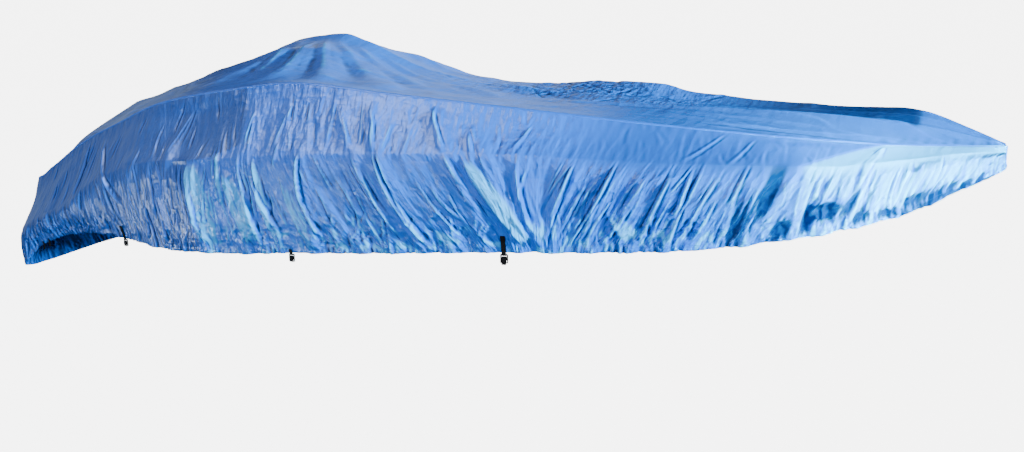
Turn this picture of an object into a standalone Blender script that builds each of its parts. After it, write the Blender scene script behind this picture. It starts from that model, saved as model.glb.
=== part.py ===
"""Fitted cover for an open runabout: a deck panel and two side panels of thin cloth, with tie-down webbing.

Metres, +X to the bow, +Y to port, +Z up. The panels are drawn in the boat's own frame (X from the transom,
Z from the rub rail at the bow) and placed so that the origin is under the crown of the cloth, where the
support pole holds it up.
"""
import math

import bmesh
import bpy
import numpy as np
from mathutils import Matrix

# ---- driving dimensions ------------------------------------------------------------------------------
LENGTH = 5.24  # transom to bow tip, along the rub rail
HALF_BEAM = 0.985  # rub rail to centreline at the widest place
WIDEST_X = 2.46  # where the boat is widest
BOW_POWER, BOW_FULLNESS = 2.3, 0.85  # how early and how roundly the rail turns in to the bow
STERN_TAPER = 0.05  # share of the half beam lost at the transom
CORNER_LENGTH, CORNER_POWER = 0.26, 2.8  # the rounded corner between side and transom
CROWN_X, CROWN_Z = 1.98, 0.45  # the top of the cover
SPINE_AFT = 0.89  # aft of here the sections fan out from one point of the ridge
CLOTH = 0.002  # thickness of the cloth
SEAM_GAP = 0.0012  # left between two panels that are sewn to each other
COLUMNS = 56  # columns of the deck panel on each side, from the transom to the bow
CORNER_WEIGHT = 0.30  # metres of rail that one radian of turning counts for when columns are shared out

# Sections across the side of the cover, by distance along the rub rail from the middle of the transom.
# deck_in, hem_in: how far the deck edge and the hem stand in from the rail; deck_z, rail_z, hem_z: heights.
SECTION_COLUMNS = ("along", "deck_in", "deck_z", "rail_z", "hem_in", "hem_z")
SECTIONS = (
    (0.00, 0.07, 0.018, -0.560, 0.07, -0.880),
    (0.45, 0.08, -0.190, -0.620, 0.07, -0.910),
    (0.80, 0.10, -0.395, -0.700, 0.00, -0.955),
    (0.98, 0.12, -0.390, -0.690, -0.01, -0.920),
    (1.16, 0.12, -0.315, -0.608, 0.02, -0.775),
    (1.46, 0.12, -0.175, -0.505, 0.05, -0.675),
    (1.84, 0.12, -0.045, -0.320, 0.05, -0.640),
    (2.29, 0.12, 0.096, -0.200, 0.05, -0.660),
    (2.79, 0.12, 0.170, -0.150, 0.05, -0.625),
    (3.24, 0.12, 0.210, -0.105, 0.05, -0.565),
    (3.74, 0.12, 0.175, -0.070, 0.05, -0.510),
    (4.35, 0.12, 0.125, -0.048, 0.05, -0.448),
    (5.00, 0.12, 0.064, -0.062, 0.05, -0.406),
    (5.53, 0.11, 0.020, -0.068, 0.05, -0.335),
    (5.88, 0.09, 0.000, -0.042, 0.04, -0.252),
    (6.14, 0.05, -0.002, -0.024, 0.02, -0.150),
    (6.30, 0.00, -0.006, -0.026, 0.00, -0.092),
)
PORT_DROP, PORT_DROP_AT, PORT_DROP_REACH = 0.040, 3.36, 0.34  # to port the deck edge hangs lower here
# The ridge and the two crests of the deck panel, by distance from the transom. crest_share is how far out
# the crest lies between ridge and deck edge; starboard_z and port_z are its heights.
RIDGE_COLUMNS = ("x", "ridge_z", "crest_share", "starboard_z", "port_z")
RIDGE = (
    (0.00, 0.055, 0.50, -0.060, -0.060),
    (0.89, 0.235, 0.50, 0.090, 0.090),
    (1.39, 0.350, 0.45, 0.225, 0.230),
    (1.76, 0.438, 0.40, 0.330, 0.335),
    (1.98, 0.450, 0.35, 0.355, 0.360),
    (2.14, 0.410, 0.35, 0.340, 0.345),
    (2.34, 0.330, 0.35, 0.290, 0.296),
    (2.60, 0.246, 0.35, 0.230, 0.228),
    (3.04, 0.172, 0.32, 0.165, 0.186),
    (3.54, 0.140, 0.30, 0.127, 0.204),
    (4.04, 0.112, 0.30, 0.122, 0.152),
    (4.54, 0.105, 0.30, 0.102, 0.125),
    (4.86, 0.100, 0.35, 0.078, 0.122),
    (4.94, 0.092, 0.35, 0.068, 0.112),
    (5.24, 0.000, 0.35, 0.000, 0.000),
)


def column(rows, names, name):
    """One named column of a table."""
    return np.array([row[names.index(name)] for row in rows])


def smooth(knots, values, at):
    """Cubic through the values that never overshoots them."""
    step = np.diff(knots)
    slope = np.diff(values) / step
    before, after = 2 * step[1:] + step[:-1], step[1:] + 2 * step[:-1]
    same_way = slope[:-1] * slope[1:] > 0
    tangent = np.concatenate(([slope[0]], np.zeros(len(slope) - 1), [slope[-1]]))
    tangent[1:-1][same_way] = (
        (before + after)[same_way]
        / (before[same_way] / slope[:-1][same_way] + after[same_way] / slope[1:][same_way])
    )
    i = np.clip(np.searchsorted(knots, at, side="right") - 1, 0, len(step) - 1)
    t = np.clip((at - knots[i]) / step[i], 0, 1)
    return (
        values[i] * (1 + 2 * t) * (1 - t) ** 2
        + values[i + 1] * t**2 * (3 - 2 * t)
        + step[i] * (tangent[i] * t * (1 - t) ** 2 - tangent[i + 1] * t**2 * (1 - t))
    )


def section_value(name, along, side):
    """One measure of the cover's section at each distance along the rail."""
    value = smooth(column(SECTIONS, SECTION_COLUMNS, "along"), column(SECTIONS, SECTION_COLUMNS, name), along)
    if name == "deck_z" and side > 0:
        value = value - PORT_DROP * np.exp(-(((along - PORT_DROP_AT) / PORT_DROP_REACH) ** 2))
    return value


def ridge_value(name, x):
    return smooth(column(RIDGE, RIDGE_COLUMNS, "x"), column(RIDGE, RIDGE_COLUMNS, name), x)


# ---- plan of the boat ----------------------------------------------------------------------------------
def half_breadth(x):
    """Rub rail to centreline at a distance x from the transom."""
    bow = np.clip((x - WIDEST_X) / (LENGTH - WIDEST_X), 0, 1)
    stern = np.clip(1 - x / WIDEST_X, 0, 1)
    corner = np.clip(1 - x / CORNER_LENGTH, 0, 1)
    side = HALF_BEAM * (1 - bow**BOW_POWER) ** BOW_FULLNESS * (1 - STERN_TAPER * stern**2)
    return side * (1 - corner**CORNER_POWER) ** (1 / CORNER_POWER)


def rail_outline(points=6000):
    """Half of the rail's plan, finely: x, half breadth and distance along, from the transom to the bow."""
    turn = np.linspace(0, math.pi / 2, points)
    corner = CORNER_LENGTH * (1 - np.cos(turn) ** (2 / CORNER_POWER))
    x = np.concatenate([corner, np.linspace(CORNER_LENGTH, LENGTH, points)[1:]])
    y = half_breadth(x)
    along = np.concatenate([[0], np.cumsum(np.hypot(np.diff(x), np.diff(y)))])
    return x, y, along


def column_places(count):
    """Distances along the rail that are closer together where it turns."""
    x, y, along = rail_outline()
    heading = np.unwrap(np.arctan2(np.diff(y), np.diff(x)))
    turned = np.concatenate([[0, 0], np.cumsum(np.abs(np.diff(heading)))])
    weight = along + CORNER_WEIGHT * turned
    return np.interp(np.linspace(0, weight[-1], count + 1), weight, along)


def plan_of(along, side):
    """Rail point, ridge point and the unit step from one to the other, for side -1 starboard or +1 port."""
    x, y, distance = rail_outline()
    rail = np.stack([np.interp(along, distance, x), side * np.interp(along, distance, y)], -1)
    ridge = np.stack([np.maximum(rail[:, 0], SPINE_AFT), np.zeros(len(rail))], -1)
    reach = np.linalg.norm(rail - ridge, axis=1)
    out = np.where(reach[:, None] > 1e-6, (rail - ridge) / np.maximum(reach, 1e-6)[:, None], [[0.0, side]])
    return rail, ridge, reach, out


# ---- cloth surfaces ------------------------------------------------------------------------------------
BAND_SLACK = 0.010  # how far the band between deck edge and rail sinks in
SKIRT_BULGE = 0.012  # how far the skirt below the rail stands out
SKIRT_TUCK_POWER = 1.4  # how late on its way down the skirt turns in to the hem
DECK_SLACK = 0.012  # how far the deck panel sinks between its crests and edges
DECK_INSET_SHARE = 0.6  # near the bow the deck edge stands in by this share of the breadth at most
BAND_LEVELS = (0.0, 0.35, 0.7, 1.0)  # 0 is the deck edge, 1 the rub rail
SKIRT_LEVELS = (1.12, 1.28, 1.46, 1.64, 1.80, 1.92, 2.0)  # 2 is the hem
DECK_SHARES = (0.0, 0.5, 1.0, 1.3, 1.65, 2.0)  # 0 is the ridge, 1 the crest, 2 the deck edge
FULL_SHAPE_REACH = 0.30  # slack and bulge shrink where the rail is nearer to the ridge than this
FULL_SINK_REACH = 0.50  # and so does the sink of the deck panel


def side_base(along, levels, side):
    """Smooth side of the cover, points by column and level, without its folds."""
    rail, _, reach, out = plan_of(along, side)
    value = {name: section_value(name, along, side)[:, None] for name in SECTION_COLUMNS[1:]}
    deck_in = np.minimum(value["deck_in"], DECK_INSET_SHARE * reach[:, None])
    level = np.asarray(levels, float)[None, :]
    band, skirt = np.clip(level, 0, 1), np.clip(level - 1, 0, 1)
    narrow = np.clip(reach[:, None] / FULL_SHAPE_REACH, 0, 1)
    inset = np.where(
        level < 1,
        deck_in * (1 - band) + BAND_SLACK * narrow * np.sin(math.pi * band),
        value["hem_in"] * narrow * skirt**SKIRT_TUCK_POWER - SKIRT_BULGE * narrow * np.sin(math.pi * skirt**0.8),
    )
    z = np.where(
        level < 1,
        value["deck_z"] + (value["rail_z"] - value["deck_z"]) * band,
        value["rail_z"] + (value["hem_z"] - value["rail_z"]) * skirt,
    )
    plan = rail[:, None, :] - inset[..., None] * out[:, None, :]
    return np.concatenate([plan, z[..., None]], -1)


def deck_base(along, shares, side):
    """Smooth half of the deck panel, points by column and share, without its folds."""
    rail, ridge, reach, out = plan_of(along, side)
    deck_in = np.minimum(section_value("deck_in", along, side), DECK_INSET_SHARE * reach)
    edge = rail - deck_in[:, None] * out
    edge_z = section_value("deck_z", along, side)
    ridge_z = ridge_value("ridge_z", ridge[:, 0])
    crest_share = ridge_value("crest_share", ridge[:, 0])
    crest_z = ridge_value("starboard_z" if side < 0 else "port_z", ridge[:, 0])
    fan = np.clip((SPINE_AFT - rail[:, 0]) / SPINE_AFT, 0, 1)
    straight = ridge_z + (edge_z - ridge_z) * crest_share
    crest_z = crest_z * (1 - fan) + straight * fan
    points = []
    for share in shares:
        inner, outer = min(share, 1.0), max(share - 1.0, 0.0)
        part = crest_share * inner + (1 - crest_share) * outer
        plan = ridge * (1 - part[:, None]) + edge * part[:, None]
        z = ridge_z + (crest_z - ridge_z) * inner + (edge_z - crest_z) * outer
        sink = DECK_SLACK * np.clip(reach / FULL_SINK_REACH, 0, 1)
        sink = sink * (math.sin(math.pi * inner) + math.sin(math.pi * outer))
        points.append(np.concatenate([plan, (z - sink)[:, None]], -1))
    return np.stack(points, 1)


# ---- folds ---------------------------------------------------------------------------------------------
# Long folds on the starboard side. A fold runs from (along_top, level_top) to (along_low, level_low), is
# bowed by bend at its middle, and stands out by height, or sinks in where height is negative.
FOLD_COLUMNS = ("along_top", "level_top", "along_low", "level_low", "bend", "width", "height")
STARBOARD_FOLDS = (
    (0.22, 0.20, 0.20, 1.90, 0.00, 0.060, 0.014),
    (0.55, 0.30, 0.50, 1.90, 0.02, 0.055, 0.016),
    (1.33, 0.30, 1.28, 1.90, 0.00, 0.045, 0.012),
    (1.47, 0.50, 1.43, 1.90, 0.00, 0.045, 0.012),
    (1.63, 0.10, 1.58, 1.30, 0.00, 0.050, 0.016),
    (1.80, 0.25, 2.00, 1.85, 0.00, 0.050, 0.020),
    (2.12, 0.80, 2.16, 1.90, 0.00, 0.055, 0.020),
    (2.30, 0.90, 2.27, 1.90, 0.00, 0.045, 0.016),
    (2.45, 0.70, 2.47, 1.90, -0.02, 0.045, 0.020),
    (2.56, 0.20, 2.42, 0.90, 0.00, 0.040, 0.010),
    (2.67, 0.75, 2.65, 1.90, -0.02, 0.075, 0.034),
    (2.79, 0.60, 2.87, 1.65, 0.00, 0.040, 0.018),
    (2.96, 0.90, 3.06, 1.95, 0.00, 0.045, 0.028),
    (3.03, 0.30, 3.19, 1.90, -0.07, 0.040, 0.022),
    (3.25, 0.25, 3.20, 1.20, 0.00, 0.040, 0.014),
    (3.36, 0.85, 3.39, 1.80, -0.02, 0.050, 0.030),
    (3.53, 0.30, 3.87, 1.90, -0.02, 0.040, 0.018),
    (3.69, 0.10, 3.98, 1.90, -0.05, 0.045, 0.032),
    (3.98, 0.10, 4.24, 1.60, -0.03, 0.045, 0.026),
    (4.18, 0.50, 4.43, 1.80, -0.02, 0.055, 0.034),
    (4.40, 0.90, 4.50, 1.95, 0.00, 0.045, 0.028),
    (4.64, 1.00, 4.53, 1.75, 0.00, 0.038, 0.024),
    (4.80, 1.00, 4.66, 1.75, 0.00, 0.040, 0.028),
    (5.01, 1.02, 4.87, 1.90, 0.00, 0.045, 0.028),
    (5.12, 0.98, 4.97, 1.90, 0.01, 0.045, 0.030),
    (5.33, 1.05, 5.20, 1.90, 0.00, 0.050, 0.030),
    (5.55, 1.10, 5.48, 1.95, 0.00, 0.045, -0.026),
    (5.76, 0.20, 5.66, 1.60, 0.00, 0.045, 0.014),
    (5.98, 1.10, 5.90, 1.95, 0.00, 0.040, 0.014),
)
# Folds of the port side, drawn at random within these ranges.
PORT_FOLD_SEED, PORT_FOLD_PITCH = 7, 0.205  # metres of rail from one fold to the next
PORT_FOLD_SPAN = (0.30, 5.95)  # distances along the rail of the first and last one
PORT_FOLD_TOPS = (0.20, 0.70, 0.95)  # levels at which one can start
PORT_FOLD_SHIFT, PORT_FOLD_LEAN, PORT_FOLD_BEND = 0.05, 0.09, 0.03
PORT_FOLD_WIDTH, PORT_FOLD_HEIGHT = (0.042, 0.062), (0.014, 0.030)
PORT_FOLD_FOOT = 1.90
FOLD_FADE_IN = (-0.12, 0.25)  # levels round a fold's top between which it rises
FOLD_FADE_OUT = (-0.10, 2.30)  # it fades from this far above its foot to this level past the hem
# Tension folds of the deck panel, from (x, y) to (x, y), running away from the crown.
DECK_FOLD_COLUMNS = ("x_from", "y_from", "x_to", "y_to", "width", "height")
DECK_FOLDS = (
    (1.92, -0.16, 1.62, -0.74, 0.070, 0.012),
    (2.00, -0.14, 2.12, -0.78, 0.070, 0.014),
    (2.08, -0.14, 2.48, -0.78, 0.070, 0.016),
    (2.16, -0.10, 2.86, -0.72, 0.075, 0.014),
    (1.90, 0.14, 1.55, 0.72, 0.070, 0.012),
    (2.02, 0.15, 2.20, 0.78, 0.070, 0.014),
    (2.12, 0.12, 2.66, 0.74, 0.075, 0.016),
    (1.70, -0.05, 0.75, -0.62, 0.090, 0.014),
    (1.70, 0.06, 0.70, 0.60, 0.090, 0.014),
    (3.02, -0.02, 3.55, 0.22, 0.080, 0.016),
    (3.42, 0.02, 3.95, 0.26, 0.080, 0.014),
)
HEM_GATHER, HEM_GATHER_PITCH = 0.007, 0.145  # how far the elastic draws the hem in and out, and how often
HEM_SWING, HEM_SWING_PITCH = 0.0042, 0.237  # a slower wave on top of it
HEM_GATHER_LEVEL = 1.6  # the gathers grow from here down to the hem
CALM_HALF_WIDTH = 0.055  # webbing holds this much of the skirt flat on each side of it
CALM_LEVELS = (1.45, 1.75)  # and does so from between these levels down
PLAIN_AFT, PLAIN_BOW = (0.0, 0.15), (6.0, 6.28)  # stretches along the rail over which the folds die out
PLAIN_TOP = (0.0, 0.3)  # and the levels over which they do so towards the seam
DECK_FOLD_ENDS = (-0.08, 0.15)  # metres round the end of a tension fold over which it rises
DECK_PLAIN = (1.7, 2.0)  # shares over which the tension folds die out towards the seam
BOW_CUT = 0.004  # the deck panel ends this far short of the bow tip


def bell(distance, width):
    """A soft ridge with a slight trough on both sides."""
    t = distance / width
    return (1 - 0.35 * t**2) * np.exp(-0.5 * t**2)


def ease(value, low, high):
    t = np.clip((value - low) / (high - low), 0, 1)
    return t * t * (3 - 2 * t)


def port_folds():
    """Plainer folds for the side that faces away: even in number, uneven in lean, length and height."""
    draw = np.random.RandomState(PORT_FOLD_SEED)
    rows = []
    for place in np.arange(*PORT_FOLD_SPAN, PORT_FOLD_PITCH):
        top = place + draw.uniform(-PORT_FOLD_SHIFT, PORT_FOLD_SHIFT)
        foot = place + draw.uniform(-PORT_FOLD_LEAN, PORT_FOLD_LEAN)
        level_top = draw.choice(PORT_FOLD_TOPS)
        width, height = draw.uniform(*PORT_FOLD_WIDTH), draw.uniform(*PORT_FOLD_HEIGHT)
        bend = draw.uniform(-PORT_FOLD_BEND, PORT_FOLD_BEND)
        rows.append((top, level_top, foot, PORT_FOLD_FOOT, bend, width, height))
    return rows


def side_fold_height(along, levels, rows, flat_places):
    """How far the cloth of a side stands out from its base, by column and level."""
    along, level = np.asarray(along)[:, None], np.asarray(levels, float)[None, :]
    height = np.zeros((along.size, level.size))
    for along_top, level_top, along_low, level_low, bend, width, tall in rows:
        part = np.clip((level - level_top) / (level_low - level_top), 0, 1)
        centre = along_top + (along_low - along_top) * part + bend * np.sin(math.pi * part)
        rise = ease(level, level_top + FOLD_FADE_IN[0], level_top + FOLD_FADE_IN[1])
        fall = 1 - ease(level, level_low + FOLD_FADE_OUT[0], FOLD_FADE_OUT[1])
        height += tall * bell(along - centre, width) * rise * fall
    gather = HEM_GATHER * np.sin(2 * math.pi * along / HEM_GATHER_PITCH)
    gather = gather + HEM_SWING * np.sin(2 * math.pi * along / HEM_SWING_PITCH)
    height += gather * ease(level, HEM_GATHER_LEVEL, 2.0)
    calm = np.ones_like(along)
    for place in flat_places:
        calm = calm * ease(np.abs(along - place), CALM_HALF_WIDTH, 2.5 * CALM_HALF_WIDTH)
    height *= 1 - ease(level, *CALM_LEVELS) * (1 - calm)
    return height * ease(level, *PLAIN_TOP) * ease(along, *PLAIN_AFT) * (1 - ease(along, *PLAIN_BOW))


def deck_fold_height(points):
    """How far the cloth of the deck panel stands up from its base at each point."""
    height = np.zeros(points.shape[:-1])
    for x_from, y_from, x_to, y_to, width, tall in DECK_FOLDS:
        start, run = np.array([x_from, y_from]), np.array([x_to - x_from, y_to - y_from])
        length = np.linalg.norm(run)
        run = run / length
        offset = points[..., :2] - start
        along = offset @ run
        across = offset[..., 0] * run[1] - offset[..., 1] * run[0]
        rise = ease(along, *DECK_FOLD_ENDS) * (1 - ease(along, length - DECK_FOLD_ENDS[1], length))
        height += tall * bell(across, width) * rise
    return height


def outward(points, side):
    """Unit normals of a grid of points, pointing out of the cover."""
    down_column, down_level = np.gradient(points, axis=0), np.gradient(points, axis=1)
    normal = side * np.cross(down_column, down_level)
    return normal / np.maximum(np.linalg.norm(normal, axis=-1, keepdims=True), 1e-9)


# ---- webbing and buckles -------------------------------------------------------------------------------
WEBBING_WIDTH, WEBBING = 0.020, 0.0016  # width and thickness of the tie-down webbing
WEBBING_CLEAR = 0.0078  # middle of the webbing to the inner face of the cloth it lies on
LOOP_RADIUS, THREAD_RADIUS = 0.0048, 0.0065  # bends of the webbing round the top bar and the middle bar
BUCKLE_WIDTH, BUCKLE_HEIGHT, BUCKLE_THICK = 0.034, 0.038, 0.005
SLOT_WIDTH, SLOT_HEIGHT = 0.0245, 0.0115
TOP_BAR, MIDDLE_BAR = 0.005, 0.005
BUCKLE_CORNER, SLOT_CORNER = 0.004, 0.0015
HEM_STEP = 0.012  # the hem's direction at a tie-down is read this far on each side of it
TAB_END = 0.005  # the sewn loop ends this far below the hem, behind the cloth
BAR_LIFT = 0.001  # the webbing's bend sits this far in front of the middle bar
# The free end below the middle bar: out from the buckle's plane, and down from the bar's low edge.
FREE_END_RUN = ((-0.0035, 0.0035), (0.0, 0.0063), (0.0035, 0.0087), (0.0048, 0.0125))
FREE_END_EXTRA = 0.008  # the layer behind reaches this far below the one in front
# Tie-downs by distance along the rail: level at which the webbing is sewn on, drop from the hem to the
# middle of the buckle's top bar, and length of the free end below the middle bar.
TIE_COLUMNS = ("name", "along", "sewn_level", "drop", "free_end")
TIES = (
    ("fore", 4.33, 1.82, 0.010, 0.020),
    ("mid", 3.23, 1.96, 0.007, 0.014),
    ("aft", 1.97, 1.80, 0.007, 0.014),
)
# Pairs of short webbing ends near the transom corner: distance along the rail of each.
WEBBING_ENDS = (("quarter_a", 1.185), ("quarter_b", 1.235))
END_LEVEL, END_DROP, END_WIDTH = 1.90, 0.034, 0.014
SIDES = (("starboard", -1), ("port", 1))


def flat_places():
    """Places along the rail where webbing holds the skirt flat."""
    return [row[1] for row in TIES] + [row[1] for row in WEBBING_ENDS]


# ---- objects -------------------------------------------------------------------------------------------
def clear_scene():
    for old in list(bpy.data.objects):
        bpy.data.objects.remove(old, do_unlink=True)


def material(name, color, roughness):
    made = bpy.data.materials.new(name)
    made.use_nodes = True
    shader = made.node_tree.nodes["Principled BSDF"]
    shader.inputs["Base Color"].default_value = (*color, 1.0)
    shader.inputs["Roughness"].default_value = roughness
    shader.inputs["Metallic"].default_value = 0.0
    return made


def deck_cloth():
    return material("deck_cloth", (0.10, 0.27, 0.58), 0.55)


def side_cloth():
    return material("side_cloth", (0.13, 0.36, 0.74), 0.50)


def black_webbing():
    return material("black_webbing", (0.012, 0.012, 0.014), 0.80)


def black_plastic():
    return material("black_plastic", (0.015, 0.015, 0.017), 0.40)


def place(collection, name, data, look):
    """A new object of the cover, moved so that the underside of the crown is the origin."""
    made = bpy.data.objects.new(name, data)
    made.location = (-CROWN_X, 0, -CROWN_Z)
    data.materials.append(look)
    collection.objects.link(made)
    return made


def thicken(target, thickness, offset):
    solid = target.modifiers.new("thickness", "SOLIDIFY")
    solid.thickness = thickness
    solid.offset = offset


def cloth_object(collection, name, points, look, flip):
    """A grid of points, column by level, as one sheet of cloth that is thickened outwards."""
    columns, rows = points.shape[:2]
    shape = bmesh.new()
    corners = [[shape.verts.new(point) for point in column_points] for column_points in points]
    for i in range(columns - 1):
        for j in range(rows - 1):
            loop = [corners[i][j], corners[i + 1][j], corners[i + 1][j + 1], corners[i][j + 1]]
            shape.faces.new(loop[::-1] if flip else loop)
    bmesh.ops.remove_doubles(shape, verts=shape.verts, dist=0.00002)
    mesh = bpy.data.meshes.new(name)
    shape.to_mesh(mesh)
    shape.free()
    mesh.shade_smooth()
    made = place(collection, name, mesh, look)
    thicken(made, CLOTH, 1.0)
    return made


def side_points(side):
    """Grid of one side panel. Every second column meets a column of the deck panel at the seam."""
    levels = BAND_LEVELS + SKIRT_LEVELS
    deck_columns = column_places(COLUMNS)
    along = np.interp(np.arange(2 * COLUMNS + 1) / 2, np.arange(COLUMNS + 1), deck_columns)
    base = side_base(along, levels, side)
    rows = STARBOARD_FOLDS if side < 0 else port_folds()
    points = base + outward(base, side) * side_fold_height(along, levels, rows, flat_places())[..., None]
    points[1::2, 0] = (points[0:-1:2, 0] + points[2::2, 0]) / 2
    points[0, :, 1] = points[-1, :, 1] = side * SEAM_GAP / 2
    return points


def deck_points():
    """Grid of the deck panel, from the bow along starboard, round the transom and back along port."""
    along = column_places(COLUMNS)
    halves = []
    for side in (-1, 1):
        base = deck_base(along, DECK_SHARES, side)
        base[:, -1, :2] -= plan_of(along, side)[3] * SEAM_GAP
        calm = 1 - ease(np.asarray(DECK_SHARES), *DECK_PLAIN)
        rise = deck_fold_height(base) * calm[None, :]
        points = base + outward(base, side) * rise[..., None]
        points[:, 0] = base[:, 0]
        points[0, :, 1] = 0
        points[-1] = (LENGTH - BOW_CUT, 0, ridge_value("ridge_z", np.array([LENGTH]))[0])
        halves.append(points)
    return np.concatenate([halves[0][::-1], halves[1][1:]])


def tie_frame(along, side):
    """Local axes at the hem: a step along the hem, a step out of the cover, and the hem point itself."""
    near = np.array([along - HEM_STEP, along, along + HEM_STEP])
    hem = side_base(near, [2.0], side)[:, 0]
    step = hem[2] - hem[0]
    step[2] = 0
    step /= np.linalg.norm(step)
    out = np.array([step[1], -step[0], 0.0]) * -side
    return step, out, hem[1]


def sewn_path(along, side, top_level):
    """Where webbing lies on the skirt, from its sewn end down to the hem: out from the hem, and height."""
    _, out, hem = tie_frame(along, side)
    levels = np.linspace(top_level, 2.0, 4)
    skirt = side_base(np.array([along]), levels, side)[0] - hem
    return [(float(point @ out) + WEBBING_CLEAR, float(point[2])) for point in skirt]


def arc(centre, radius, start, end, steps):
    """Points of an arc in the plane of (out, up), with angles in degrees from straight out."""
    turns = [math.radians(start + (end - start) * i / steps) for i in range(steps + 1)]
    return [(centre[0] + radius * math.cos(turn), centre[1] + radius * math.sin(turn)) for turn in turns]


def ribbon(collection, name, along, side, path, width, look):
    """Webbing of the given width that follows a path in the plane of (out, up) at one place of the hem."""
    curve = bpy.data.curves.new(name, "CURVE")
    curve.dimensions = "2D"
    curve.fill_mode = "NONE"
    curve.extrude = width / 2
    spline = curve.splines.new("POLY")
    spline.points.add(len(path) - 1)
    for point, (out, up) in zip(spline.points, path):
        point.co = (out, up, 0, 1)
    made = place(collection, name, curve, look)
    stand_at_hem(made, along, side, upright=False)
    thicken(made, WEBBING, 0.0)
    return made


def stand_at_hem(target, along, side, upright, forward=0.0):
    """Turns an object drawn in its local XY plane to face the hem: upright ones lie along the cover."""
    step, out, hem = tie_frame(along, side)
    up = np.array([0.0, 0.0, 1.0])
    across = np.cross(up, out) if upright else out
    depth = np.cross(across, up)
    turn = Matrix([list(row) for row in np.stack([across, up, depth], 1)])
    target.rotation_euler = turn.to_euler()
    target.location = hem + forward * out - np.array([CROWN_X, 0, CROWN_Z])


def rounded_outline(spline, width, top, bottom, corner):
    """A rectangle with rounded corners, between two heights, as a closed POLY spline."""
    corners = ((1, 1, 0), (-1, 1, 90), (-1, -1, 180), (1, -1, 270))
    points = []
    for across, up, start in corners:
        middle = (across * (width / 2 - corner), (top - corner) if up > 0 else (bottom + corner))
        points += arc(middle, corner, start, start + 90, 3)
    spline.points.add(len(points) - 1)
    for point, (x, y) in zip(spline.points, points):
        point.co = (x, y, 0, 1)
    spline.use_cyclic_u = True


def ladder_buckle(collection, name, along, side, drop, look):
    """A flat plate with two slots; its top bar is in the sewn loop and its middle bar in the free webbing."""
    curve = bpy.data.curves.new(name, "CURVE")
    curve.dimensions = "2D"
    curve.fill_mode = "BOTH"
    curve.extrude = BUCKLE_THICK / 2
    top = -drop + TOP_BAR / 2
    rounded_outline(curve.splines.new("POLY"), BUCKLE_WIDTH, top, top - BUCKLE_HEIGHT, BUCKLE_CORNER)
    slot_top = top - TOP_BAR
    for _ in range(2):
        rounded_outline(curve.splines.new("POLY"), SLOT_WIDTH, slot_top, slot_top - SLOT_HEIGHT, SLOT_CORNER)
        slot_top -= SLOT_HEIGHT + MIDDLE_BAR
    made = place(collection, name, curve, look)
    stand_at_hem(made, along, side, upright=True, forward=WEBBING_CLEAR - LOOP_RADIUS)
    weld = made.modifiers.new("weld", "WELD")
    weld.merge_threshold = 0.00001
    return made


def tab_path(along, side, sewn_level, drop):
    """The sewn webbing: down the skirt, round the buckle's top bar, and a short way up behind it."""
    path = sewn_path(along, side, sewn_level)
    path += arc((WEBBING_CLEAR - LOOP_RADIUS, -drop), LOOP_RADIUS, 0, -180, 8)
    path.append((WEBBING_CLEAR - 2 * LOOP_RADIUS, -TAB_END))
    return path


def thread_path(drop, free_end):
    """The free webbing: up in front, over the middle bar, down behind it and out under it to the front."""
    plane = WEBBING_CLEAR - LOOP_RADIUS
    bar_top = -drop - TOP_BAR / 2 - SLOT_HEIGHT
    bar_low = bar_top - MIDDLE_BAR
    path = [(plane + BAR_LIFT + THREAD_RADIUS, bar_top - free_end)]
    path += arc((plane + BAR_LIFT, bar_top), THREAD_RADIUS, 0, 180, 8)
    path.append((plane + BAR_LIFT - THREAD_RADIUS, bar_low - 0.002))
    path += [(plane + out, bar_low - down) for out, down in FREE_END_RUN]
    path.append((plane + FREE_END_RUN[-1][0], bar_top - free_end - FREE_END_EXTRA))
    return path


def build():
    clear_scene()
    cover = bpy.data.collections.new("boat_cover")
    bpy.context.scene.collection.children.link(cover)
    deck_look, side_look, webbing, plastic = deck_cloth(), side_cloth(), black_webbing(), black_plastic()
    cloth_object(cover, "deck_panel", deck_points(), deck_look, flip=False)
    for side_name, side in SIDES:
        cloth_object(cover, f"side_panel_{side_name}", side_points(side), side_look, flip=side < 0)
        for tie, along, level, drop, free_end in TIES:
            name = f"{tie}_{side_name}"
            path = tab_path(along, side, level, drop)
            ribbon(cover, f"tab_{name}", along, side, path, WEBBING_WIDTH, webbing)
            ladder_buckle(cover, f"buckle_{name}", along, side, drop, plastic)
            path = thread_path(drop, free_end)
            ribbon(cover, f"webbing_{name}", along, side, path, WEBBING_WIDTH, webbing)
        for end, along in WEBBING_ENDS:
            path = sewn_path(along, side, END_LEVEL) + [(WEBBING_CLEAR, -END_DROP)]
            ribbon(cover, f"webbing_{end}_{side_name}", along, side, path, END_WIDTH, webbing)


build()
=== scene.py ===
"""Looks of the fitted boat cover: three panels of thin coated polyester, with seams, webbing and light.

Metres. The cloth is drawn in the boat's own frame, as in the part's source (X from the transom, +Y to port,
Z from the rub rail at the bow), and then moved so that the origin is under the crown. Places on a side panel
are given as (along, level): along is the distance along the rub rail from the middle of the transom, and
level is 0 at the deck edge, 1 at the rub rail and 2 at the hem.
"""
import math

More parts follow.
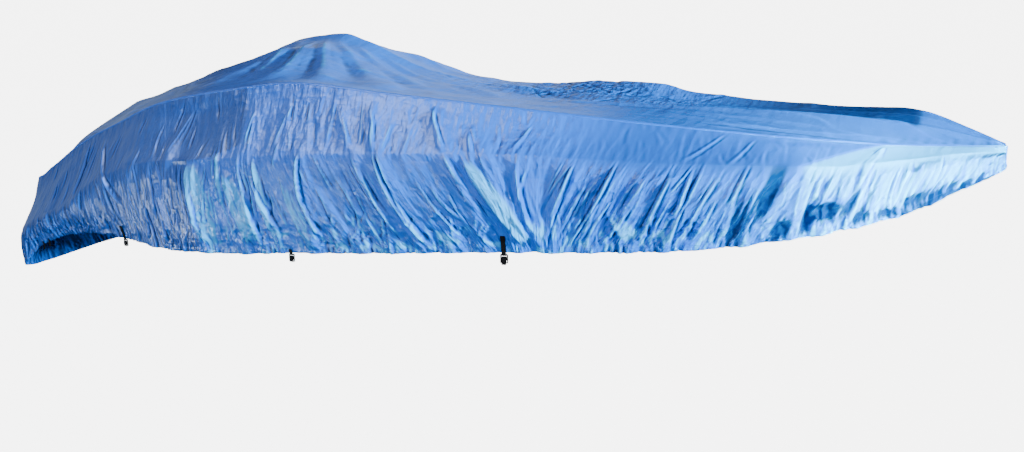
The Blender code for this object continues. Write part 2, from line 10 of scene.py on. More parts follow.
import bmesh
import bpy
import numpy as np
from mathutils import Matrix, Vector


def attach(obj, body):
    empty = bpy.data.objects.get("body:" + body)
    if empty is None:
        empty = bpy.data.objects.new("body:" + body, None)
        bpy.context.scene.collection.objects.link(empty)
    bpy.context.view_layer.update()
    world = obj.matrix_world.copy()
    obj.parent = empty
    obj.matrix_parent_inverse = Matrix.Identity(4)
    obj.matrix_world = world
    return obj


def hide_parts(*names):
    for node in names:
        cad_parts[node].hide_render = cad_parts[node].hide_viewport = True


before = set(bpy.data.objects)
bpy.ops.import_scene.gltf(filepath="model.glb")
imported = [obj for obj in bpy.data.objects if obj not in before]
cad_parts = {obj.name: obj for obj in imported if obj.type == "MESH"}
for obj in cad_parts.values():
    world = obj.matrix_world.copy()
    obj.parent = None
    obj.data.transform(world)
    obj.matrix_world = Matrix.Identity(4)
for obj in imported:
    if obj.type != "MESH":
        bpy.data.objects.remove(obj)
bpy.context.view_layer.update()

# ---- driving dimensions, as in the part's source -----------------------------------------------------
LENGTH = 5.24
HALF_BEAM = 0.985
WIDEST_X = 2.46
BOW_POWER, BOW_FULLNESS = 2.3, 0.85
STERN_TAPER = 0.05
CORNER_LENGTH, CORNER_POWER = 0.26, 2.8
CROWN_X, CROWN_Z = 1.98, 0.45
SPINE_AFT = 0.89
SEAM_GAP = 0.0012

SECTION_COLUMNS = ("along", "deck_in", "deck_z", "rail_z", "hem_in", "hem_z")
SECTIONS = (
    (0.00, 0.07, 0.018, -0.560, 0.07, -0.880),
    (0.45, 0.08, -0.190, -0.620, 0.07, -0.910),
    (0.80, 0.10, -0.395, -0.700, 0.00, -0.955),
    (0.98, 0.12, -0.390, -0.690, -0.01, -0.920),
    (1.16, 0.12, -0.315, -0.608, 0.02, -0.775),
    (1.46, 0.12, -0.175, -0.505, 0.05, -0.675),
    (1.84, 0.12, -0.045, -0.320, 0.05, -0.640),
    (2.29, 0.12, 0.096, -0.200, 0.05, -0.660),
    (2.79, 0.12, 0.170, -0.150, 0.05, -0.625),
    (3.24, 0.12, 0.210, -0.105, 0.05, -0.565),
    (3.74, 0.12, 0.175, -0.070, 0.05, -0.510),
    (4.35, 0.12, 0.125, -0.048, 0.05, -0.448),
    (5.00, 0.12, 0.064, -0.062, 0.05, -0.406),
    (5.53, 0.11, 0.020, -0.068, 0.05, -0.335),
    (5.88, 0.09, 0.000, -0.042, 0.04, -0.252),
    (6.14, 0.05, -0.002, -0.024, 0.02, -0.150),
    (6.30, 0.00, -0.006, -0.026, 0.00, -0.092),
)
PORT_DROP, PORT_DROP_AT, PORT_DROP_REACH = 0.040, 3.36, 0.34
RIDGE_COLUMNS = ("x", "ridge_z", "crest_share", "starboard_z", "port_z")
RIDGE = (
    (0.00, 0.055, 0.50, -0.060, -0.060),
    (0.89, 0.235, 0.50, 0.090, 0.090),
    (1.39, 0.350, 0.45, 0.225, 0.230),
    (1.76, 0.438, 0.40, 0.330, 0.335),
    (1.98, 0.450, 0.35, 0.355, 0.360),
    (2.14, 0.410, 0.35, 0.340, 0.345),
    (2.34, 0.330, 0.35, 0.290, 0.296),
    (2.60, 0.246, 0.35, 0.230, 0.228),
    (3.04, 0.172, 0.32, 0.165, 0.186),
    (3.54, 0.140, 0.30, 0.127, 0.204),
    (4.04, 0.112, 0.30, 0.122, 0.152),
    (4.54, 0.105, 0.30, 0.102, 0.125),
    (4.86, 0.100, 0.35, 0.078, 0.122),
    (4.94, 0.092, 0.35, 0.068, 0.112),
    (5.24, 0.000, 0.35, 0.000, 0.000),
)
BAND_SLACK, DECK_SLACK = 0.010, 0.012
SKIRT_BULGE, SKIRT_BULGE_POWER, SKIRT_TUCK_POWER = 0.012, 0.8, 1.4
DECK_INSET_SHARE, FULL_SHAPE_REACH, FULL_SINK_REACH = 0.6, 0.30, 0.50

# The long folds, as in the part's source: along and level at the top, then at the foot, bend, width, height.
STARBOARD_FOLDS = (
    (0.22, 0.20, 0.20, 1.90, 0.00, 0.060, 0.014),
    (0.55, 0.30, 0.50, 1.90, 0.02, 0.055, 0.016),
    (1.33, 0.30, 1.28, 1.90, 0.00, 0.045, 0.012),
    (1.47, 0.50, 1.43, 1.90, 0.00, 0.045, 0.012),
    (1.63, 0.10, 1.58, 1.30, 0.00, 0.050, 0.016),
    (1.80, 0.25, 2.00, 1.85, 0.00, 0.050, 0.020),
    (2.12, 0.80, 2.16, 1.90, 0.00, 0.055, 0.020),
    (2.30, 0.90, 2.27, 1.90, 0.00, 0.045, 0.016),
    (2.45, 0.70, 2.47, 1.90, -0.02, 0.045, 0.020),
    (2.56, 0.20, 2.42, 0.90, 0.00, 0.040, 0.010),
    (2.67, 0.75, 2.65, 1.90, -0.02, 0.075, 0.034),
    (2.79, 0.60, 2.87, 1.65, 0.00, 0.040, 0.018),
    (2.96, 0.90, 3.06, 1.95, 0.00, 0.045, 0.028),
    (3.03, 0.30, 3.19, 1.90, -0.07, 0.040, 0.022),
    (3.25, 0.25, 3.20, 1.20, 0.00, 0.040, 0.014),
    (3.36, 0.85, 3.39, 1.80, -0.02, 0.050, 0.030),
    (3.53, 0.30, 3.87, 1.90, -0.02, 0.040, 0.018),
    (3.69, 0.10, 3.98, 1.90, -0.05, 0.045, 0.032),
    (3.98, 0.10, 4.24, 1.60, -0.03, 0.045, 0.026),
    (4.18, 0.50, 4.43, 1.80, -0.02, 0.055, 0.034),
    (4.40, 0.90, 4.50, 1.95, 0.00, 0.045, 0.028),
    (4.64, 1.00, 4.53, 1.75, 0.00, 0.038, 0.024),
    (4.80, 1.00, 4.66, 1.75, 0.00, 0.040, 0.028),
    (5.01, 1.02, 4.87, 1.90, 0.00, 0.045, 0.028),
    (5.12, 0.98, 4.97, 1.90, 0.01, 0.045, 0.030),
    (5.33, 1.05, 5.20, 1.90, 0.00, 0.050, 0.030),
    (5.55, 1.10, 5.48, 1.95, 0.00, 0.045, -0.026),
    (5.76, 0.20, 5.66, 1.60, 0.00, 0.045, 0.014),
    (5.98, 1.10, 5.90, 1.95, 0.00, 0.040, 0.014),
)
PORT_FOLD_SEED, PORT_FOLD_PITCH, PORT_FOLD_SPAN = 7, 0.205, (0.30, 5.95)
PORT_FOLD_TOPS, PORT_FOLD_FOOT = (0.20, 0.70, 0.95), 1.90
PORT_FOLD_SHIFT, PORT_FOLD_LEAN, PORT_FOLD_BEND = 0.05, 0.09, 0.03
PORT_FOLD_WIDTH, PORT_FOLD_HEIGHT = (0.042, 0.062), (0.014, 0.030)
FOLD_FADE_IN, FOLD_FADE_OUT = (-0.12, 0.25), (-0.10, 2.30)
# Folds of the deck: x and y at one end, then at the other, width, height.
DECK_FOLDS = (
    (1.92, -0.16, 1.62, -0.74, 0.070, 0.012),
    (2.00, -0.14, 2.12, -0.78, 0.070, 0.014),
    (2.08, -0.14, 2.48, -0.78, 0.070, 0.016),
    (2.16, -0.10, 2.86, -0.72, 0.075, 0.014),
    (1.90, 0.14, 1.55, 0.72, 0.070, 0.012),
    (2.02, 0.15, 2.20, 0.78, 0.070, 0.014),
    (2.12, 0.12, 2.66, 0.74, 0.075, 0.016),
    (1.70, -0.05, 0.75, -0.62, 0.090, 0.014),
    (1.70, 0.06, 0.70, 0.60, 0.090, 0.014),
    (3.02, -0.02, 3.55, 0.22, 0.080, 0.016),
    (3.42, 0.02, 3.95, 0.26, 0.080, 0.014),
)
HEM_GATHER, HEM_GATHER_PITCH = 0.007, 0.145
HEM_SWING, HEM_SWING_PITCH, HEM_GATHER_LEVEL = 0.0042, 0.237, 1.6
PLAIN_AFT, PLAIN_BOW, PLAIN_TOP = (0.0, 0.15), (6.0, 6.28), (0.0, 0.3)
DECK_FOLD_ENDS, DECK_PLAIN, BOW_CUT = (-0.08, 0.15), (1.7, 2.0), 0.004

# ---- what only the looks need ------------------------------------------------------------------------
SIDE_COLUMNS, BAND_ROWS, SKIRT_ROWS = 1320, 26, 48
TRANSOM_SHARE, TRANSOM_END, CORNER_SHARE = 0.55, 0.7, 0.05  # the transom has fewer columns, its corner more
DECK_COLUMNS, DECK_ROWS = 620, 74
DECK_TRANSOM_SHARE, DECK_TRANSOM_END = 0.12, 0.8  # share of the deck's columns on the transom, and its end
SIDE_SEEDS, DECK_SEEDS = {-1: 11, 1: 23}, {-1: 71, 1: 72}  # by side, -1 starboard and +1 port
PORT_LEAN_SHARE = 0.5  # creases of the port side lean this share as much
AFT_TOP_SHADE, AFT_TOP_ENDS = 0.55, (0.95, 1.75)  # painted shade: the deck is darker from the transom to here, aft of the crown where it faces away from the light

# How far a crease of the skirt moves forward, in metres, for one level down, by distance along the rail.
LEAN_COLUMNS = ("along", "lean")
LEAN = (
    (0.00, 0.00), (1.00, 0.00), (1.60, -0.03), (1.95, 0.06), (2.30, 0.00), (2.70, 0.02), (3.10, 0.12),
    (3.60, 0.26), (4.10, 0.30), (4.30, 0.28), (4.42, 0.08), (4.60, -0.17), (4.90, -0.22), (5.30, -0.18),
    (5.60, -0.08), (6.30, -0.10),
)
# How far the drawn columns themselves slant for one level, so that they run with the creases and never cross.
SLANT_COLUMNS = ("along", "band", "skirt")
SLANT = (
    (0.00, 0.00, 0.00), (1.00, 0.00, 0.00), (1.90, 0.06, 0.05), (2.60, -0.02, 0.05), (3.10, -0.02, 0.10),
    (3.60, 0.08, 0.20), (4.00, 0.10, 0.20), (4.30, 0.02, 0.10), (4.50, -0.04, 0.00), (4.80, -0.06, -0.14),
    (5.20, -0.08, -0.16), (5.60, -0.04, -0.08), (6.00, -0.02, -0.04), (6.20, 0.00, 0.00), (6.30, 0.00, 0.00),
)
# Creases of the starboard side that stand out one by one: sharp, narrow ridges between two places, in the
# columns of the long folds.
STARBOARD_CREASES = (
    (1.63, 0.00, 1.59, 1.11, 0.01, 0.012, 0.006),
    (1.81, 0.32, 1.89, 0.95, 0.00, 0.013, 0.008),
    (1.89, 0.95, 2.02, 1.43, 0.00, 0.014, 0.011),
    (1.90, 1.00, 1.98, 1.90, 0.00, 0.012, 0.008),
    (2.54, 0.27, 2.43, 0.81, 0.00, 0.010, 0.004),
    (2.62, 1.27, 2.63, 1.87, 0.01, 0.016, 0.012),
    (2.78, 0.87, 2.79, 1.21, 0.00, 0.013, 0.009),
    (2.79, 1.21, 2.86, 1.55, 0.00, 0.013, 0.010),
    (2.96, 1.04, 3.05, 1.89, 0.01, 0.014, 0.012),
    (3.02, 0.34, 2.99, 0.83, 0.00, 0.012, 0.007),
    (3.04, 1.18, 3.19, 1.82, 0.00, 0.013, 0.011),
    (3.24, 0.32, 3.19, 0.86, 0.00, 0.012, 0.006),
    (3.36, 0.99, 3.37, 1.55, -0.02, 0.013, 0.014),
    (3.37, 1.51, 3.42, 1.80, 0.00, 0.014, 0.012),
    (3.53, 0.37, 3.64, 0.94, 0.00, 0.012, 0.006),
    (3.64, 0.94, 3.87, 1.85, -0.01, 0.013, 0.009),
    (3.69, 0.23, 3.76, 0.97, 0.00, 0.011, 0.008),
    (3.76, 0.97, 3.97, 1.87, -0.02, 0.013, 0.015),
    (3.64, 0.15, 3.68, 0.86, 0.00, 0.010, 0.004),
    (3.99, 0.13, 4.09, 0.97, -0.01, 0.012, 0.009),
    (4.09, 0.97, 4.22, 1.41, 0.00, 0.014, 0.011),
    (4.18, 0.61, 4.23, 1.08, 0.00, 0.012, 0.009),
    (4.38, 1.57, 4.47, 1.90, 0.00, 0.016, 0.012),
    (4.43, 0.28, 4.38, 0.87, 0.00, 0.010, 0.006),
    (4.41, 1.04, 4.49, 1.94, -0.02, 0.014, 0.013),
    (4.63, 1.08, 4.53, 1.64, 0.00, 0.011, 0.013),
    (4.68, 1.25, 4.57, 1.72, 0.00, 0.011, 0.011),
    (4.79, 1.06, 4.68, 1.61, 0.00, 0.011, 0.014),
    (4.91, 1.15, 4.80, 1.58, 0.00, 0.011, 0.009),
    (5.00, 1.10, 4.87, 1.84, 0.00, 0.012, 0.013),
    (5.08, 1.03, 4.97, 1.88, 0.00, 0.013, 0.012),
    (5.18, 1.09, 5.01, 1.85, 0.00, 0.012, 0.012),
    (5.32, 1.22, 5.22, 1.89, 0.00, 0.012, 0.013),
    (5.17, 0.00, 5.04, 0.89, 0.00, 0.010, 0.004),
    (5.27, 0.18, 5.21, 0.95, 0.00, 0.010, 0.004),
    (5.53, 1.17, 5.49, 1.85, 0.00, 0.016, -0.014),
    (5.62, 1.58, 5.53, 1.88, 0.00, 0.014, -0.012),
    (5.76, 0.15, 5.74, 0.75, 0.00, 0.012, 0.006),
    (5.74, 0.75, 5.66, 1.45, 0.00, 0.013, 0.008),
)

# Broad facets of the starboard skirt: a steep short flank aft of the crest and a long flat one forward. The
# places and the bend as for a fold, then the length of the steep flank, of the long one, height, and how much
# paler the long one is painted, a painted highlight where it faces the light.
FACETS = (
    (4.185, 1.04, 4.43, 1.92, -0.012, 0.016, 0.085, 0.022, 1.00),
    (2.60, 1.02, 2.68, 1.92, -0.020, 0.014, 0.150, 0.022, 0.95),
    (2.81, 0.92, 2.84, 1.50, -0.005, 0.010, 0.030, 0.010, 1.10),
    (2.87, 1.15, 2.98, 1.92, -0.010, 0.014, 0.120, 0.020, 0.90),
    (3.07, 1.04, 3.14, 1.80, -0.010, 0.010, 0.035, 0.014, 1.20),
    (3.24, 1.30, 3.34, 1.90, 0.000, 0.012, 0.070, 0.014, 0.70),
    (2.33, 1.20, 2.36, 1.85, 0.010, 0.012, 0.070, 0.010, 0.30),
    (4.44, 1.60, 4.50, 1.95, 0.000, 0.012, 0.035, 0.012, 0.70),
    (4.76, 1.55, 4.82, 1.90, 0.000, 0.012, 0.075, 0.012, 0.85),
)
POCKET_LEAN = 0.12  # a pocket lies this far aft for each level down
# Pockets pressed in near the hem at the bow: along, level, half length, half height in levels, depth.
BOW_POCKETS = (
    (5.24, 1.72, 0.030, 0.22, 0.014),
    (5.35, 1.38, 0.030, 0.24, 0.016),
    (5.40, 1.84, 0.035, 0.12, 0.018),
    (5.56, 1.67, 0.065, 0.12, 0.026),
    (5.50, 1.82, 0.022, 0.12, 0.016),
    (5.66, 1.58, 0.020, 0.20, 0.014),
    (5.70, 1.84, 0.030, 0.10, 0.016),
    (5.80, 1.88, 0.040, 0.08, 0.014),
    (5.92, 1.78, 0.055, 0.11, 0.020),
    (6.00, 1.84, 0.030, 0.12, 0.016),
    (6.06, 1.80, 0.022, 0.14, 0.014),
    (6.12, 1.86, 0.030, 0.10, 0.014),
    (6.18, 1.82, 0.020, 0.12, 0.012),
)
# Soft creases of the deck that fan down from the crown to the starboard seam: x and y at one end, then at the
# other, bend, width, height.
DECK_CREASES = (
    (1.76, -0.12, 1.93, -0.64, 0.0, 0.045, 0.012),
    (1.85, -0.11, 2.12, -0.62, 0.0, 0.040, 0.012),
    (1.93, -0.10, 2.36, -0.60, 0.0, 0.040, 0.011),
    (2.02, -0.09, 2.62, -0.54, 0.0, 0.040, 0.009),
    (2.12, -0.08, 2.90, -0.46, 0.0, 0.040, 0.008),
    (2.25, -0.05, 3.25, -0.34, 0.0, 0.040, 0.007),
    (4.20, -0.46, 5.05, -0.18, 0.0, 0.035, -0.010),
    (3.30, -0.30, 4.30, -0.22, 0.0, 0.030, -0.006),
)


# ---- shape functions, as in the part's source --------------------------------------------------------
def column(rows, names, name):
    """One named column of a table."""
    return np.array([row[names.index(name)] for row in rows])


def smooth(knots, values, at):
    """Cubic through the values that never overshoots them."""
    step = np.diff(knots)
    slope = np.diff(values) / step
    before, after = 2 * step[1:] + step[:-1], step[1:] + 2 * step[:-1]
    same_way = slope[:-1] * slope[1:] > 0
    tangent = np.concatenate(([slope[0]], np.zeros(len(slope) - 1), [slope[-1]]))
    tangent[1:-1][same_way] = (
        (before + after)[same_way]
        / (before[same_way] / slope[:-1][same_way] + after[same_way] / slope[1:][same_way])
    )
    i = np.clip(np.searchsorted(knots, at, side="right") - 1, 0, len(step) - 1)
    t = np.clip((at - knots[i]) / step[i], 0, 1)
    return (
        values[i] * (1 + 2 * t) * (1 - t) ** 2
        + values[i + 1] * t**2 * (3 - 2 * t)
        + step[i] * (tangent[i] * t * (1 - t) ** 2 - tangent[i + 1] * t**2 * (1 - t))
    )


def section_value(name, along, side):
    """One measure of the cover's section at each distance along the rail."""
    value = smooth(column(SECTIONS, SECTION_COLUMNS, "along"), column(SECTIONS, SECTION_COLUMNS, name), along)
    if name == "deck_z" and side > 0:
        value = value - PORT_DROP * np.exp(-(((along - PORT_DROP_AT) / PORT_DROP_REACH) ** 2))
    return value


def ridge_value(name, x):
    return smooth(column(RIDGE, RIDGE_COLUMNS, "x"), column(RIDGE, RIDGE_COLUMNS, name), x)


def half_breadth(x):
    """Rub rail to centreline at a distance x from the transom."""
    bow = np.clip((x - WIDEST_X) / (LENGTH - WIDEST_X), 0, 1)
    stern = np.clip(1 - x / WIDEST_X, 0, 1)
    corner = np.clip(1 - x / CORNER_LENGTH, 0, 1)
    side = HALF_BEAM * (1 - bow**BOW_POWER) ** BOW_FULLNESS * (1 - STERN_TAPER * stern**2)
    return side * (1 - corner**CORNER_POWER) ** (1 / CORNER_POWER)


def rail_outline(points=6000):
    """Half of the rail's plan, finely: x, half breadth and distance along, from the transom to the bow."""
    turn = np.linspace(0, math.pi / 2, points)
    corner = CORNER_LENGTH * (1 - np.cos(turn) ** (2 / CORNER_POWER))
    x = np.concatenate([corner, np.linspace(CORNER_LENGTH, LENGTH, points)[1:]])
    y = half_breadth(x)
    along = np.concatenate([[0], np.cumsum(np.hypot(np.diff(x), np.diff(y)))])
    return x, y, along


def plan_of(along, side):
    """Rail point, ridge point and the unit step from one to the other, for side -1 starboard or +1 port."""
    x, y, distance = rail_outline()
    rail = np.stack([np.interp(along, distance, x), side * np.interp(along, distance, y)], -1)
    ridge = np.stack([np.maximum(rail[:, 0], SPINE_AFT), np.zeros(len(rail))], -1)
    reach = np.linalg.norm(rail - ridge, axis=1)
    out = np.where(reach[:, None] > 1e-6, (rail - ridge) / np.maximum(reach, 1e-6)[:, None], [[0.0, side]])
    return rail, ridge, reach, out


def side_base(along, level, side):
    """Smooth side of the cover at each place (along, level), without its folds."""
    rail, _, reach, out = plan_of(along.ravel(), side)
    rail, out = rail.reshape(*along.shape, 2), out.reshape(*along.shape, 2)
    reach = reach.reshape(along.shape)
    value = {name: section_value(name, along, side) for name in SECTION_COLUMNS[1:]}
    deck_in = np.minimum(value["deck_in"], DECK_INSET_SHARE * reach)
    band, skirt = np.clip(level, 0, 1), np.clip(level - 1, 0, 1)
    narrow = np.clip(reach / FULL_SHAPE_REACH, 0, 1)
    bulge = SKIRT_BULGE * np.sin(math.pi * skirt**SKIRT_BULGE_POWER)
    inset = np.where(
        level < 1,
        deck_in * (1 - band) + BAND_SLACK * narrow * np.sin(math.pi * band),
        narrow * (value["hem_in"] * skirt**SKIRT_TUCK_POWER - bulge),
    )
    z = np.where(
        level < 1,
        value["deck_z"] + (value["rail_z"] - value["deck_z"]) * band,
        value["rail_z"] + (value["hem_z"] - value["rail_z"]) * skirt,
    )
    return np.concatenate([rail - inset[..., None] * out, z[..., None]], -1)


def deck_base(along, shares, side):
    """Smooth half of the deck panel, points by column and share, without its folds."""
    rail, ridge, reach, out = plan_of(along, side)
    deck_in = np.minimum(section_value("deck_in", along, side), DECK_INSET_SHARE * reach)
    edge = rail - deck_in[:, None] * out
    edge_z = section_value("deck_z", along, side)
    ridge_z = ridge_value("ridge_z", ridge[:, 0])
    crest_share = ridge_value("crest_share", ridge[:, 0])
    crest_z = ridge_value("starboard_z" if side < 0 else "port_z", ridge[:, 0])
    fan = np.clip((SPINE_AFT - rail[:, 0]) / SPINE_AFT, 0, 1)
    straight = ridge_z + (edge_z - ridge_z) * crest_share
    crest_z = crest_z * (1 - fan) + straight * fan
    points = []
    for share in shares:
        inner, outer = min(share, 1.0), max(share - 1.0, 0.0)
        part = crest_share * inner + (1 - crest_share) * outer
        plan = ridge * (1 - part[:, None]) + edge * part[:, None]
        z = ridge_z + (crest_z - ridge_z) * inner + (edge_z - crest_z) * outer
        sink = DECK_SLACK * np.clip(reach / FULL_SINK_REACH, 0, 1)
        sink = sink * (math.sin(math.pi * inner) + math.sin(math.pi * outer))
        points.append(np.concatenate([plan, (z - sink)[:, None]], -1))
    return np.stack(points, 1)


def outward(points, side):
    """Unit normals of a grid of points, pointing out of the cover."""
    down_column, down_level = np.gradient(points, axis=0), np.gradient(points, axis=1)
    normal = side * np.cross(down_column, down_level)
    return normal / np.maximum(np.linalg.norm(normal, axis=-1, keepdims=True), 1e-9)


# ---- folds -------------------------------------------------------------------------------------------
def bell(distance, width):
    """A soft ridge with a slight trough on both sides."""
    t = distance / width
    return (1 - 0.35 * t**2) * np.exp(-0.5 * t**2)


def tent(distance, width):
    """A ridge with flat flanks that meet in a sharp crest."""
    return np.maximum(1.04 - np.hypot(distance / width, 0.04), 0)


def crest(offset, behind, ahead):
    """A sharp crest at offset 0 whose flanks end at different distances behind and ahead of it."""
    return np.clip(np.where(offset < 0, 1 + offset / behind, 1 - offset / ahead), 0, 1)


def ease(value, low, high):
    t = np.clip((value - low) / (high - low), 0, 1)
    return t * t * (3 - 2 * t)


def gradient_noise(u, v, seed):
    """Smooth noise between about -1 and 1, with one feature for each unit of u and v."""
    draw = np.random.RandomState(seed)
    turn, angle = draw.permutation(256), draw.uniform(0, 2 * math.pi, 256)
    cell_u, cell_v = np.floor(u).astype(int), np.floor(v).astype(int)
    part_u, part_v = u - cell_u, v - cell_v
    fade_u, fade_v = (part**3 * (part * (6 * part - 15) + 10) for part in (part_u, part_v))
    total = np.zeros(np.broadcast(u, v).shape)
    for step_u in (0, 1):
        for step_v in (0, 1):
            spin = angle[turn[(turn[(cell_u + step_u) & 255] + cell_v + step_v) & 255]]
            slope = np.cos(spin) * (part_u - step_u) + np.sin(spin) * (part_v - step_v)
            share_u, share_v = (fade_u if step_u else 1 - fade_u), (fade_v if step_v else 1 - fade_v)
            total += share_u * share_v * slope
    return 1.6 * total


def facets(u, v, seed):
    """Flat facets that meet in sharp creases, one for each unit of u and v, between about -0.5 and 0.5."""
    draw = np.random.RandomState(seed)
    turn, jitter = draw.permutation(256), draw.uniform(0.1, 0.9, (256, 2))
    cell_u, cell_v = np.floor(u).astype(int), np.floor(v).astype(int)
    nearest = np.full(np.broadcast(u, v).shape, 9.0)
    for step_u in (-1, 0, 1):
        for step_v in (-1, 0, 1):
            place = jitter[turn[(turn[(cell_u + step_u) & 255] + cell_v + step_v) & 255]]
            far_u = np.abs(cell_u + step_u + place[..., 0] - u)
            far_v = np.abs(cell_v + step_v + place[..., 1] - v)
            nearest = np.minimum(nearest, np.maximum(0.8 * far_u + 0.4 * far_v, 0.4 * far_u + 0.8 * far_v))
    return nearest - 0.45


def ridges(u, v, seed):
    """Long sharp crests that wander, fork and fade, with rounded troughs between, between 0 and about 1."""
    return 1 - np.minimum(2 * np.abs(gradient_noise(u, v, seed)), 1)


def port_folds():
    """Plainer folds for the side that faces away: even in number, uneven in lean, length and height."""
    draw = np.random.RandomState(PORT_FOLD_SEED)
    rows = []
    for place in np.arange(*PORT_FOLD_SPAN, PORT_FOLD_PITCH):
        top = place + draw.uniform(-PORT_FOLD_SHIFT, PORT_FOLD_SHIFT)
        foot = place + draw.uniform(-PORT_FOLD_LEAN, PORT_FOLD_LEAN)
        level_top = draw.choice(PORT_FOLD_TOPS)
        width, height = draw.uniform(*PORT_FOLD_WIDTH), draw.uniform(*PORT_FOLD_HEIGHT)
        bend = draw.uniform(-PORT_FOLD_BEND, PORT_FOLD_BEND)
        rows.append((top, level_top, foot, PORT_FOLD_FOOT, bend, width, height))
    return rows


def lean_at(along, side):
    """How far forward a crease runs for one level down. The port side's creases lean less."""
    lean = smooth(column(LEAN, LEAN_COLUMNS, "along"), column(LEAN, LEAN_COLUMNS, "lean"), np.asarray(along))
    return lean * (1.0 if side < 0 else PORT_LEAN_SHARE)


# Small creases. Pitch along the rail, and the ranges that their places, widths and heights are drawn from.
SMALL_SEEDS = {-1: 31, 1: 57}
SMALL_SHIFT, SMALL_UPWARD = 0.03, 0.7  # a crease's shift along, and the share of creases that stand out
SKIRT_PLACES, SKIRT_PITCH, SKIRT_TOPS, SKIRT_SPANS = (0.10, 6.15), 0.032, (0.95, 1.45), (0.25, 0.75)
SKIRT_LEAN, SKIRT_BEND, SKIRT_WIDTHS, SKIRT_LOWEST = 0.10, 0.012, (0.005, 0.010), 1.97
SKIRT_LOW, SKIRT_RANGE = 0.001, 0.009
HEM_PLACES, HEM_PITCH, HEM_TOPS, HEM_LENGTHS, HEM_TURN = (0.10, 5.95), 0.028, (1.50, 1.90), (0.03, 0.10), 1.1
HEM_HEIGHTS, HEM_UPWARD, HEM_WIDTHS, SKIRT_DEPTH = (0.003, 0.007), 0.6, (0.007, 0.011), 0.45
BAND_PLACES, BAND_PITCH, BAND_TOPS, BAND_SPANS = (1.25, 5.6), 0.075, (0.05, 0.75), (0.25, 0.6)
BAND_SHIFT, BAND_LEAN_AFT, BAND_LEAN_FORE, BAND_LEAN_TURNS = 0.04, -0.10, 0.04, 2.7
BAND_HEIGHTS, BAND_BEND, BAND_WIDTHS, BAND_LOWEST = (0.0015, 0.0045), 0.01, (0.009, 0.014), 1.1
BAND_FAINT_FROM, BAND_FAINT = 4.5, 0.4


def small_creases(side):
    """Short sharp creases between the long folds: down the skirt, crumpled at the hem and across the band."""
    draw = np.random.RandomState(SMALL_SEEDS[side])
    rows = []
    for place in np.arange(*SKIRT_PLACES, SKIRT_PITCH):
        start = draw.uniform(*SKIRT_TOPS)
        end = min(start + draw.uniform(*SKIRT_SPANS), SKIRT_LOWEST)
        top = place + draw.uniform(-SMALL_SHIFT, SMALL_SHIFT)
        low = top + (float(lean_at(place, side)) + draw.uniform(-SKIRT_LEAN, SKIRT_LEAN)) * (end - start)
        tall = (SKIRT_LOW + SKIRT_RANGE * draw.rand() ** 2) * (1 if draw.rand() < SMALL_UPWARD else -1)
        bend, width = draw.uniform(-SKIRT_BEND, SKIRT_BEND), draw.uniform(*SKIRT_WIDTHS)
        rows.append((top, start, low, end, bend, width, tall))
    for place in np.arange(*HEM_PLACES, HEM_PITCH):
        start, length = draw.uniform(*HEM_TOPS), draw.uniform(*HEM_LENGTHS)
        turn = draw.uniform(-HEM_TURN, HEM_TURN)
        top = place + draw.uniform(-SMALL_SHIFT, SMALL_SHIFT)
        tall = draw.uniform(*HEM_HEIGHTS) * (1 if draw.rand() < HEM_UPWARD else -1)
        low, end = top + length * math.sin(turn), start + length * math.cos(turn) / SKIRT_DEPTH
        rows.append((top, start, low, min(end, 2.0), 0.0, draw.uniform(*HEM_WIDTHS), tall))
    for place in np.arange(*BAND_PLACES, BAND_PITCH):
        start = draw.uniform(*BAND_TOPS)
        end = min(start + draw.uniform(*BAND_SPANS), BAND_LOWEST)
        top = place + draw.uniform(-BAND_SHIFT, BAND_SHIFT)
        lean = BAND_LEAN_AFT if place < BAND_LEAN_TURNS else BAND_LEAN_FORE
        low = top + lean * (end - start) + draw.uniform(-SMALL_SHIFT, SMALL_SHIFT)
        tall = draw.uniform(*BAND_HEIGHTS) * (1 if draw.rand() < SMALL_UPWARD else -1)
        tall *= BAND_FAINT if place > BAND_FAINT_FROM else 1
        bend, width = draw.uniform(-BAND_BEND, BAND_BEND), draw.uniform(*BAND_WIDTHS)
        rows.append((top, start, low, end, bend, width, tall))
    return rows


def crease_height(chart_u, chart_v, rows):
    """Height of straight or slightly bent creases on a flat chart. Rows: u, v, u, v, bend, width, height."""
    height = np.zeros(chart_u.shape)
    for from_u, from_v, to_u, to_v, bend, width, tall in rows:
        run_u, run_v = to_u - from_u, to_v - from_v
        length = math.hypot(run_u, run_v)
        run_u, run_v = run_u / length, run_v / length
        reach = 6 * width
        near = (
            (chart_u > min(from_u, to_u) - reach - abs(bend))
            & (chart_u < max(from_u, to_u) + reach + abs(bend))
            & (chart_v > min(from_v, to_v) - reach)
            & (chart_v < max(from_v, to_v) + reach)
        )
        off_u, off_v = chart_u[near] - from_u, chart_v[near] - from_v
        part = np.clip((off_u * run_u + off_v * run_v) / length, -0.3, 1.3)
        across = off_u * run_v - off_v * run_u - bend * 4 * part * (1 - part)
        taper = ease(part, -0.10, 0.30) * (1 - ease(part, 0.75, 1.12))
        thin = width * (0.65 + 0.65 * np.clip(part, 0, 1))
        height[near] += tall * (tent(across, thin) - 0.35 * tent(across - 1.5 * thin, 0.7 * thin)) * taper
    return height


CREST_WIDTH, CREST_HEIGHT = 0.009, 0.0065  # the pinched crest of a long fold
CREST_WAVES, CREST_SHIFT = 9, 40  # the pinch comes and goes down the fold, differently on each
SOFT_FOLD, SOFT_FOLD_AFT, SOFT_FOLD_ENDS, FOLD_TENT = 0.20, 0.12, (2.4, 3.1), 0.12
PINCH_AFT, PINCH_ENDS = 0.12, (2.3, 3.0)  # aft of here the crests are less pinched


